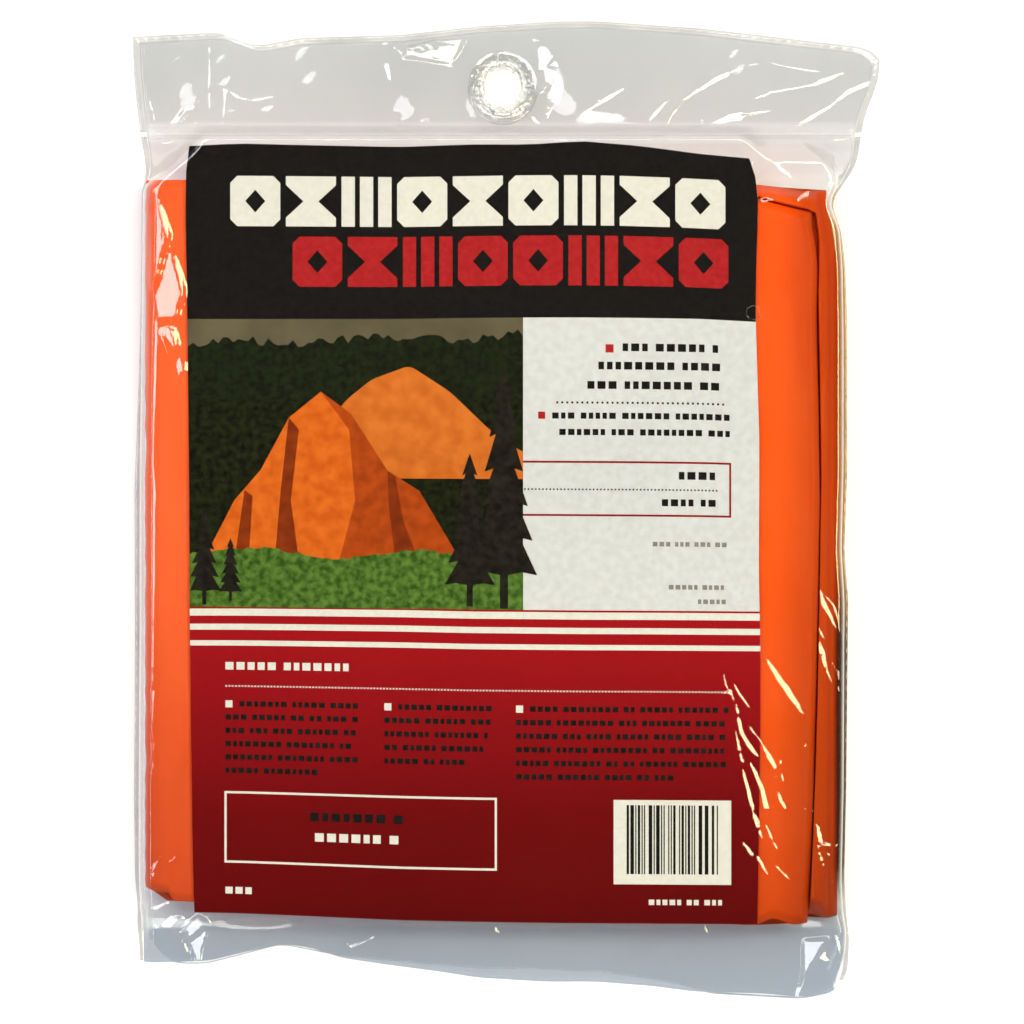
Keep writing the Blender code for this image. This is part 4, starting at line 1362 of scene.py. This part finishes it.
def add_tie():
    """A ribbed elastic band round the hank's waist."""
    middle_x, middle_z = (TIE_LOW.x + TIE_HIGH.x) / 2, (TIE_LOW.z + TIE_HIGH.z) / 2
    half_z = (TIE_HIGH.z - TIE_LOW.z) / 2
    straight = (TIE_HIGH.x - TIE_LOW.x) / 2 - half_z
    turn = np.linspace(-math.pi / 2, math.pi / 2, 15)
    angles = np.append(turn, turn + math.pi)[:, None]
    signs = np.repeat([1.0, -1.0], 15)[:, None]
    across = np.linspace(0, 1, 25)
    ribbed = half_z - 0.0001 + 0.00006 * np.cos(across * math.tau * 6)
    share = np.append(across, across[::-6])
    radius = np.append(ribbed, 0 * across[::-6] + half_z - TIE_THICK)
    x = middle_x + signs * straight + radius * np.cos(angles)
    y = TIE_LOW.y + share * (TIE_HIGH.y - TIE_LOW.y) + 0 * angles
    rings = np.dstack([x, y, middle_z + radius * np.sin(angles)])
    tie = closed_loops("hank_tie_band", rings, tie_material(), capped=False)
    dress(tie, "rope", "tie_band", "rope_tie")


# The printed card. Its print is laid out flat, in pixels, and then bowed
CARD_TOP_PX = 148
CARD_FOOT_PX = 910
PANEL_LEFT_PX = 523
CARD_LEFT_PX = (
    (191, 148), (188.5, 163), (187.5, 179), (187.5, 232), (188.5, 278), (189, 319), (190, 392),
    (191, 500), (191.5, 612), (193, 740), (194.5, 853), (196, 910),
)
CARD_RIGHT_PX = (
    (748, 148), (753.5, 168), (756, 188), (757, 202), (755.5, 242), (754.5, 283), (754.5, 320),
    (758, 436), (757.5, 570), (759, 640), (759, 728), (757.5, 827), (756, 910),
)
BOW_X_PX = (191, 240, 300, 400, 470, 530, 580, 640, 700, 756)
BOW_ROWS_PX = (148, 175, 320, 610, 910)
BOW_PX = (
    (0, -2.5, -1, 1, -1.5, -1.5, -5, 0, 8, 13),
    (0, -0.5, 0, 1, 0, -1, -1, 0, 3, 6),
    (0, 0, 0, 0, -1, -1.5, -1.5, -1, 0, 3),
    (0, 0, 0.5, 1.5, 3, 3.5, 4, 4.2, 4.6, 5),
    (0, 1, 3.5, 8, 9.5, 10.5, 11, 11.3, 11.7, 12),
)
BAR_STEP_PX = 22
SIDE_PX = (180, 765)
PICTURE_TOP_PX = 320
PICTURE_FOOT_PX = 606
INK_HEIGHT = 0.00002

# Two close tones of each ink, and where they differ its roughness and its grain
INKS = {
    "meadow": ((0.002, 0.003, 0.001), (0.016, 0.020, 0.005), 0.5, 520.0),
    "lawn": ((0.030, 0.085, 0.008), (0.120, 0.230, 0.040), 0.5, 520.0),
    "forest": ((0.004, 0.006, 0.003), (0.014, 0.020, 0.006), 0.5, 600.0),
    "sky": ((0.10, 0.085, 0.05), (0.15, 0.125, 0.08), 0.5, 60.0),
    "far_rock": ((0.62, 0.14, 0.016), (0.76, 0.20, 0.03), 0.5, 220.0),
    "lit_rock": ((0.66, 0.11, 0.008), (0.82, 0.17, 0.018), 0.5, 260.0),
    "dim_rock": ((0.36, 0.050, 0.004), (0.52, 0.075, 0.008), 0.5, 260.0),
    "deep_rock": ((0.19, 0.024, 0.003), (0.29, 0.040, 0.005), 0.5, 260.0),
    "stem": ((0.006, 0.005, 0.004), (0.022, 0.018, 0.013), 0.5, 420.0),
    "white": ((0.80, 0.79, 0.76), (0.87, 0.86, 0.83)),
    "black": ((0.0060, 0.0048, 0.0050), (0.0105, 0.0086, 0.0086), 0.5),
    "dark": ((0.006, 0.005, 0.005), (0.014, 0.012, 0.012)),
    "bright_red": ((0.40, 0.014, 0.016), (0.50, 0.022, 0.026)),
    "cream": ((0.70, 0.71, 0.755), (0.78, 0.795, 0.855), 0.5, 420.0),
    "grey": ((0.24, 0.22, 0.21), (0.32, 0.30, 0.28)),
    "deep_red": ((0.26, 0.010, 0.012), (0.32, 0.014, 0.016)),
}
INK = {name: ink_material(f"{name}_ink_finish", *values) for name, values in INKS.items()}
INK["panel_red"] = red_panel_material()


def between(value, points_px):
    """The x of an upright line of places at a height in pixels."""
    return float(np.interp(value, [point[1] for point in points_px], [point[0] for point in points_px]))


def card_point(x_px, y_px):
    """A place of the flat print as x and y on the pack, lowered as the card bows."""
    y_px = min(max(y_px, CARD_TOP_PX), CARD_FOOT_PX)
    x_px = min(max(x_px, between(y_px, CARD_LEFT_PX)), between(y_px, CARD_RIGHT_PX))
    sunk = float(np.interp(y_px, BOW_ROWS_PX, [float(np.interp(x_px, BOW_X_PX, row)) for row in BOW_PX]))
    return (x_px - MIDDLE_X_PX) * PIXEL, (MIDDLE_Y_PX - y_px - sunk) * PIXEL


def slab(name, outlines_px, low, high, finish):
    """Thin closed plates from outlines in pixels."""
    points, faces = [], []
    for outline in outlines_px:
        corners = [card_point(*corner) for corner in outline]
        area = sum(a[0] * b[1] - b[0] * a[1] for a, b in zip(corners, corners[1:] + corners[:1]))
        corners = corners if area > 0 else corners[::-1]
        first, count = len(points), len(corners)
        points += [(x, y, low) for x, y in corners] + [(x, y, high) for x, y in corners]
        faces.append(tuple(range(first, first + count))[::-1])
        faces.append(tuple(range(first + count, first + 2 * count)))
        for at in range(first, first + count):
            after = first + (at + 1 - first) % count
            faces.append((at, after, after + count, at + count))
    item = add_mesh(name, points, faces, finish, smooth_shaded=False)
    dress(item, "card", "printed_card")
    return item


def printed(name, outlines_px, ink, layer=1):
    """Ink on the card: each outline becomes a thin closed patch, one layer on another."""
    slab(name, outlines_px, CARD_HIGH.z - INK_HEIGHT, CARD_HIGH.z + INK_HEIGHT * layer, INK[ink])


def bar(left, high, right, low):
    """A level rectangle in pixels, with points along it so that it can bow."""
    steps = max(1, int((right - left) / BAR_STEP_PX))
    across = [left + (right - left) * step / steps for step in range(steps + 1)]
    return tuple((x, high) for x in across) + tuple((x, low) for x in reversed(across))


def panel(high, low, left=SIDE_PX[0], right=SIDE_PX[1]):
    """A large rectangle, with points along all its sides."""
    steps = max(1, int((low - high) / BAR_STEP_PX))
    down = [high + (low - high) * step / steps for step in range(1, steps)]
    outline = bar(left, high, right, low)
    half = len(outline) // 2
    return (
        outline[:half] + tuple((right, y) for y in down)
        + outline[half:] + tuple((left, y) for y in reversed(down))
    )


def dots(left, right, y, size, pitch):
    """A dotted line."""
    count = int((right - left) / pitch)
    return [bar(left + i * pitch, y, left + i * pitch + size, y + size) for i in range(count)]


def words(left, right, y, tall, seed):
    """A line of print as short blocks in groups of word length, with no letters in it."""
    chance = random.Random(seed)
    blocks = []
    x = left
    while x < right - tall:
        for _ in range(chance.randint(2, 8)):
            end = x + tall * chance.choice((0.55, 0.7, 0.8, 0.8))
            if end > right:
                break
            blocks.append(bar(x, y + 0.1 * tall, end, y + 0.85 * tall))
            x = end + 0.3 * tall
        x += 0.5 * tall
    return blocks


def lines(*rows):
    """Several lines of print in one piece."""
    return [block for row in rows for block in words(*row)]


def octagon(left, high, right, low, cut):
    """A rectangle with its corners cut off."""
    return (
        (left + cut, high), (right - cut, high), (right, high + cut), (right, low - cut),
        (right - cut, low), (left + cut, low), (left, low - cut), (left, high + cut),
    )


def frieze(left, right, high, low, count):
    """A row of heavy plain shapes: studs, stepped hourglasses and bars, mirrored about its middle."""
    pitch = (right - left) / count
    middle, deep = (high + low) / 2, (low - high) / 2
    shapes, holes = [], []
    for index in range(count):
        mirrored = index if index < count / 2 else count - 1 - index
        start = left + index * pitch + 0.05 * pitch
        end = left + (index + 1) * pitch - 0.05 * pitch
        centre = (start + end) / 2
        half = (end - start) / 2
        if mirrored % 3 == 0:
            shapes.append(octagon(start, high, end, low, 0.28 * half))
            holes.append(((centre - 0.4 * half, middle), (centre, middle - 0.45 * deep),
                          (centre + 0.4 * half, middle), (centre, middle + 0.45 * deep)))
        elif mirrored % 3 == 1:
            waist = 0.3 * half
            shapes.append((
                (start, high), (end, high), (end, high + 0.35 * deep), (centre + waist, middle),
                (end, low - 0.35 * deep), (end, low), (start, low), (start, low - 0.35 * deep),
                (centre - waist, middle), (start, high + 0.35 * deep),
            ))
        else:
            third = (end - start) / 3
            for near, far in ((0, 0.8), (1.1, 1.9), (2.2, 3)):
                shapes.append(bar(start + near * third, high, start + far * third, low))
    return shapes, holes


def conifer(x, foot, tall, wide, levels=6):
    """A conifer's outline, with its boughs as teeth down both sides."""
    right = [(x, foot - tall)]
    for level in range(1, levels + 1):
        down = foot - tall + 0.86 * tall * level / levels
        half = wide / 2 * (0.16 + 0.84 * level / levels)
        right += [(x + half, down), (x + 0.55 * half, down - 0.012 * tall)]
    right += [(x + 0.06 * wide, foot - 0.14 * tall), (x + 0.06 * wide, foot)]
    return right + [(2 * x - px, py) for px, py in reversed(right[1:])]


def hills(left, foot, peaks, jag=0.0, seed=0):
    """Hills over a level foot, with soft tops or a jagged tree line, up to the pale panel."""
    chance = random.Random(seed)
    peak_x, peak_y = np.array(peaks, float).T
    line = []
    for x in np.linspace(left, PANEL_LEFT_PX, 70):
        high = float(np.mean(np.interp(x + np.linspace(-5, 5, 5), peak_x, peak_y)))
        line.append((float(x), high - jag * chance.uniform(0, 1)))
    return [(left, foot), *line, (PANEL_LEFT_PX, foot)]


TREES_PX = ((180, 352), (230, 344), (300, 350), (380, 341), (460, 347), (523, 340))
FAR_ROCK_PX = ((300, 470), (345, 402), (372, 380), (410, 366), (450, 392), (490, 430), (523, 452))
LIT_ROCK_PX = (
    (205, 560), (236, 500), (262, 470), (290, 418), (322, 392), (352, 430), (356, 500), (340, 560),
)
DIM_ROCK_PX = (
    (322, 392), (352, 414), (388, 470), (420, 490), (462, 560), (340, 560), (356, 500), (350, 430),
)
ROCK_SHADE_PX = (
    ((290, 418), (300, 430), (292, 500), (300, 560), (276, 560), (282, 490)),
    ((388, 470), (396, 476), (404, 520), (420, 560), (396, 560), (390, 510)),
    ((246, 490), (254, 496), (250, 560), (236, 560)),
)
LAWN_PX = ((180, 556), (260, 548), (340, 560), (420, 549), (523, 561))
CONIFERS_PX = ((206, 604, 96, 34), (232, 600, 62, 24), (470, 603, 150, 50), (504, 605, 236, 66))


def add_card():
    """The board under the print, bowed as the photograph shows."""
    board = ink_material("card_board_finish", (0.70, 0.69, 0.66), (0.80, 0.79, 0.76), 0.6, 500.0)
    outline = panel(CARD_TOP_PX, CARD_FOOT_PX)
    card = slab("card_board", [outline], CARD_LOW.z, CARD_HIGH.z, board)
    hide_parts("insert_card")


def add_picture():
    """A landscape in the place of the card's picture."""
    left, right = SIDE_PX[0], PANEL_LEFT_PX
    pictured = [
        ("meadow", "meadow", [panel(PICTURE_TOP_PX, PICTURE_FOOT_PX, left, right)]),
        ("sky", "sky", [panel(PICTURE_TOP_PX, 356, left, right)]),
        ("tree_line", "forest", [hills(left, 400, TREES_PX, 9, 31)]),
        ("far_rock", "far_rock", [hills(300, 478, FAR_ROCK_PX)]),
        ("lit_rock", "lit_rock", [LIT_ROCK_PX]),
        ("dim_rock", "dim_rock", [DIM_ROCK_PX]),
        ("rock_shade", "deep_rock", ROCK_SHADE_PX),
        ("lawn", "lawn", [hills(left, PICTURE_FOOT_PX, LAWN_PX, 3, 32)]),
    ]
    pictured += [(f"conifer_{at}", "stem", [conifer(*spot)]) for at, spot in enumerate(CONIFERS_PX)]
    for layer, (name, ink, shapes) in enumerate(pictured, 1):
        printed(f"picture_{name}", shapes, ink, layer)


def label_stripes():
    """Upright strokes of mixed widths in the place of a bar code."""
    chance = random.Random(7)
    strokes, x = [], 626.0
    while x < 716:
        wide = chance.choice((1.2, 1.2, 2.4, 3.6))
        strokes.append(bar(x, 795, x + wide, 862))
        x += wide + chance.choice((1.3, 1.3, 2.5, 3.4))
    return strokes


def text_columns(columns):
    """Columns of print: left, right, first line's y, number of lines and seed of each."""
    text = []
    for start, end, first, count, seed in columns:
        for line in range(count):
            stop = end - (0.25 * (end - start) if line == count - 1 else 0)
            text += words(start + (14 if line == 0 else 0), stop, first - 4 + 13.2 * line, 7, seed + line)
    return text


def add_card_print():
    """Panels, stripes, bars and boxes in place of the card's words."""
    columns = ((227, 361, 703, 6, 20), (385, 493, 703, 5, 40), (516, 730, 703, 6, 60))
    title, title_holes = frieze(229, 727, 178, 228, 9)
    subtitle, subtitle_holes = frieze(291, 730, 238, 288, 8)
    stripes = [bar(SIDE_PX[0], y, SIDE_PX[1], y + tall) for y, tall in ((608, 7), (623, 6), (639.5, 5.2))]
    pale_lines = lines(
        (622, 727, 344, 10, 1), (598, 727, 362, 10, 2), (587, 727, 381, 10, 3), (552, 729, 412, 8, 4),
        (559, 729, 428, 8, 5), (678, 719, 469, 10, 6), (661, 719, 496, 9, 7),
    )
    box = [bar(226, 789, 497, 791.2), bar(226, 857.8, 497, 860)]
    box += [bar(226, 791.2, 228.2, 857.8), bar(494.8, 791.2, 497, 857.8)]
    box += lines((316, 406, 827, 11, 81), (227, 266, 883, 9, 82), (648, 728, 886, 7, 83))
    for name, ink, layer, shapes in (
        ("black_panel", "black", 1, [panel(CARD_TOP_PX, PICTURE_TOP_PX)]),
        ("red_panel", "panel_red", 1, [panel(PICTURE_FOOT_PX, CARD_FOOT_PX)]),
        ("pale_panel", "cream", 1, [panel(PICTURE_TOP_PX, PICTURE_FOOT_PX, PANEL_LEFT_PX)]),
        ("title_white", "white", 2, title),
        ("title_red", "bright_red", 2, subtitle),
        ("title_centres", "black", 3, title_holes + subtitle_holes),
        ("stripes", "white", 2, stripes),
        ("bullets", "bright_red", 2, [bar(605, 346, 613, 354), bar(538, 412, 545, 419)]),
        ("dark_lines", "dark", 2, pale_lines),
        ("dotted_lines", "dark", 2, dots(556, 730, 402, 2.0, 5.0) + dots(524, 720, 487, 1.6, 3.6)),
        ("size_box", "deep_red", 2,
         [bar(523, 460, 730, 462), bar(523, 512, 730, 514), bar(728, 462, 730, 512)]),
        ("grey_lines", "grey", 2,
         lines((652, 730, 538, 6, 8), (668, 730, 580, 6, 9), (697, 730, 594, 6, 10))),
        ("heading", "white", 2, words(227, 361, 660, 10, 11)),
        ("rule", "white", 2, dots(227, 727, 684, 1.6, 3.2)),
        ("text_lines", "dark", 2, text_columns(columns)),
        ("step_marks", "white", 2, [bar(row[0], row[2] - 4, row[0] + 7, row[2] + 3) for row in columns]),
        ("white_box", "white", 2, box),
        ("box_dark_line", "dark", 2, words(311, 411, 807, 11, 84)),
        ("label", "white", 2, [bar(613, 790, 730, 872)]),
        ("label_stripes", "dark", 3, label_stripes()),
    ):
        printed(f"card_{name}", shapes, ink, layer)


# Floor, light and camera
FLOOR_HALF = 3.0
FLOOR_Z = -0.0003
FLOOR_GLOW = 0.20
LENS = 200.0
SENSOR = 36.0
LOOK_Z = 0.010
STUDIO = ((0.0, 0.80), (0.35, 0.48), (0.6, 0.20), (0.86, 0.07), (0.95, 0.028), (1.0, 0.020))


def add_floor():
    """A pale floor that keeps the pack's shadow."""
    made = new_material("floor_finish", Roughness=0.9, Specular_IOR_Level=0.0)
    stops = ((0.3, (0.84, 0.86, 0.94)), (0.7, (0.85, 0.87, 0.95)))
    made.shade(Base_Color=made.ramp(made.noise(3.0, 2.0), stops))
    seen = made.maths("MAXIMUM", made.ray("Camera"), made.ray("Glossy"))
    seen = made.maths("MAXIMUM", seen, made.ray("Transmission"))
    glow = made.add("ShaderNodeEmission", {"Strength": made.ranged(seen, 0, 1, FLOOR_GLOW)})
    both = {0: made.shader.outputs["BSDF"], 1: glow.outputs["Emission"]}
    made.surface(made.add("ShaderNodeAddShader", both))
    corners = ((-1, -1), (1, -1), (1, 1), (-1, 1))
    points = [(FLOOR_HALF * x, FLOOR_HALF * y, FLOOR_Z) for x, y in corners]
    add_mesh("floor", points, [(0, 1, 2, 3)], made.owner, smooth_shaded=False)


def add_world():
    """A studio round the pack: pale at the sides, dim straight above."""
    world = bpy.data.worlds.new("studio")
    bpy.context.scene.world = world
    made = Nodes(world, "Background", "Generated")
    studio = made.ramp(made.axis("Z"), [(height, grey(level)) for height, level in STUDIO])
    made.shade(Color=made.mixed(studio, WHITE, made.ray("Camera"), "MIX"))


def add_light(name, lean_x, lean_y, distance, size, radiance, colour):
    """A softbox that faces the pack, at a lean from straight above in degrees, of a radiance."""
    lean = math.radians(math.hypot(lean_x, lean_y))
    turn = math.atan2(lean_y, lean_x)
    level = math.sin(lean)
    direction = Vector((level * math.cos(turn), level * math.sin(turn), math.cos(lean)))
    across = Vector((0, 1, 0)).cross(direction).normalized()
    lamp = bpy.data.lights.new(name, "AREA")
    lamp.shape = "RECTANGLE"
    lamp.size, lamp.size_y = size
    lamp.energy = radiance * math.pi * size[0] * size[1]
    lamp.color = colour
    item = bpy.data.objects.new(name, lamp)
    item.location = direction * distance
    item.rotation_euler = Matrix((across, direction.cross(across), direction)).transposed().to_euler()
    bpy.context.scene.collection.objects.link(item)


def add_camera():
    """The photograph's view: straight down, from far enough that the sides hardly show."""
    centre_x = (IMAGE_PX / 2 - MIDDLE_X_PX) * PIXEL
    centre_y = (MIDDLE_Y_PX - IMAGE_PX / 2) * PIXEL
    camera = bpy.data.cameras.new("camera")
    camera.lens = LENS
    camera.sensor_width = SENSOR
    item = bpy.data.objects.new("camera", camera)
    item.location = (centre_x, centre_y, LOOK_Z + IMAGE_PX * PIXEL * LENS / SENSOR)
    bpy.context.scene.collection.objects.link(item)
    bpy.context.scene.camera = item


add_camera()
add_rope()
add_tie()
add_front_film()
add_back_film()
add_side_welds()
add_header_seam()
add_cross_weld()
add_ring()
add_vent_rim()
add_tent()
add_card()
add_picture()
add_card_print()
add_floor()
add_world()
add_light("key_softbox", -18, 17, 6.0, (1.50, 4.10), 7.2, (0.97, 0.98, 1.0))
add_light("warm_softbox", 21, 9, 6.0, (2.15, 2.15), 13.0, (1.0, 0.93, 0.53))
add_light("small_softbox", 1.5, 16, 6.0, (2.10, 1.30), 7.4, (1.0, 0.96, 0.84))
add_light("left_strip", -42, 6, 6.0, (0.30, 5.40), 9.0, (0.97, 0.98, 1.0))
bpy.context.scene.view_settings.view_transform = "Standard"
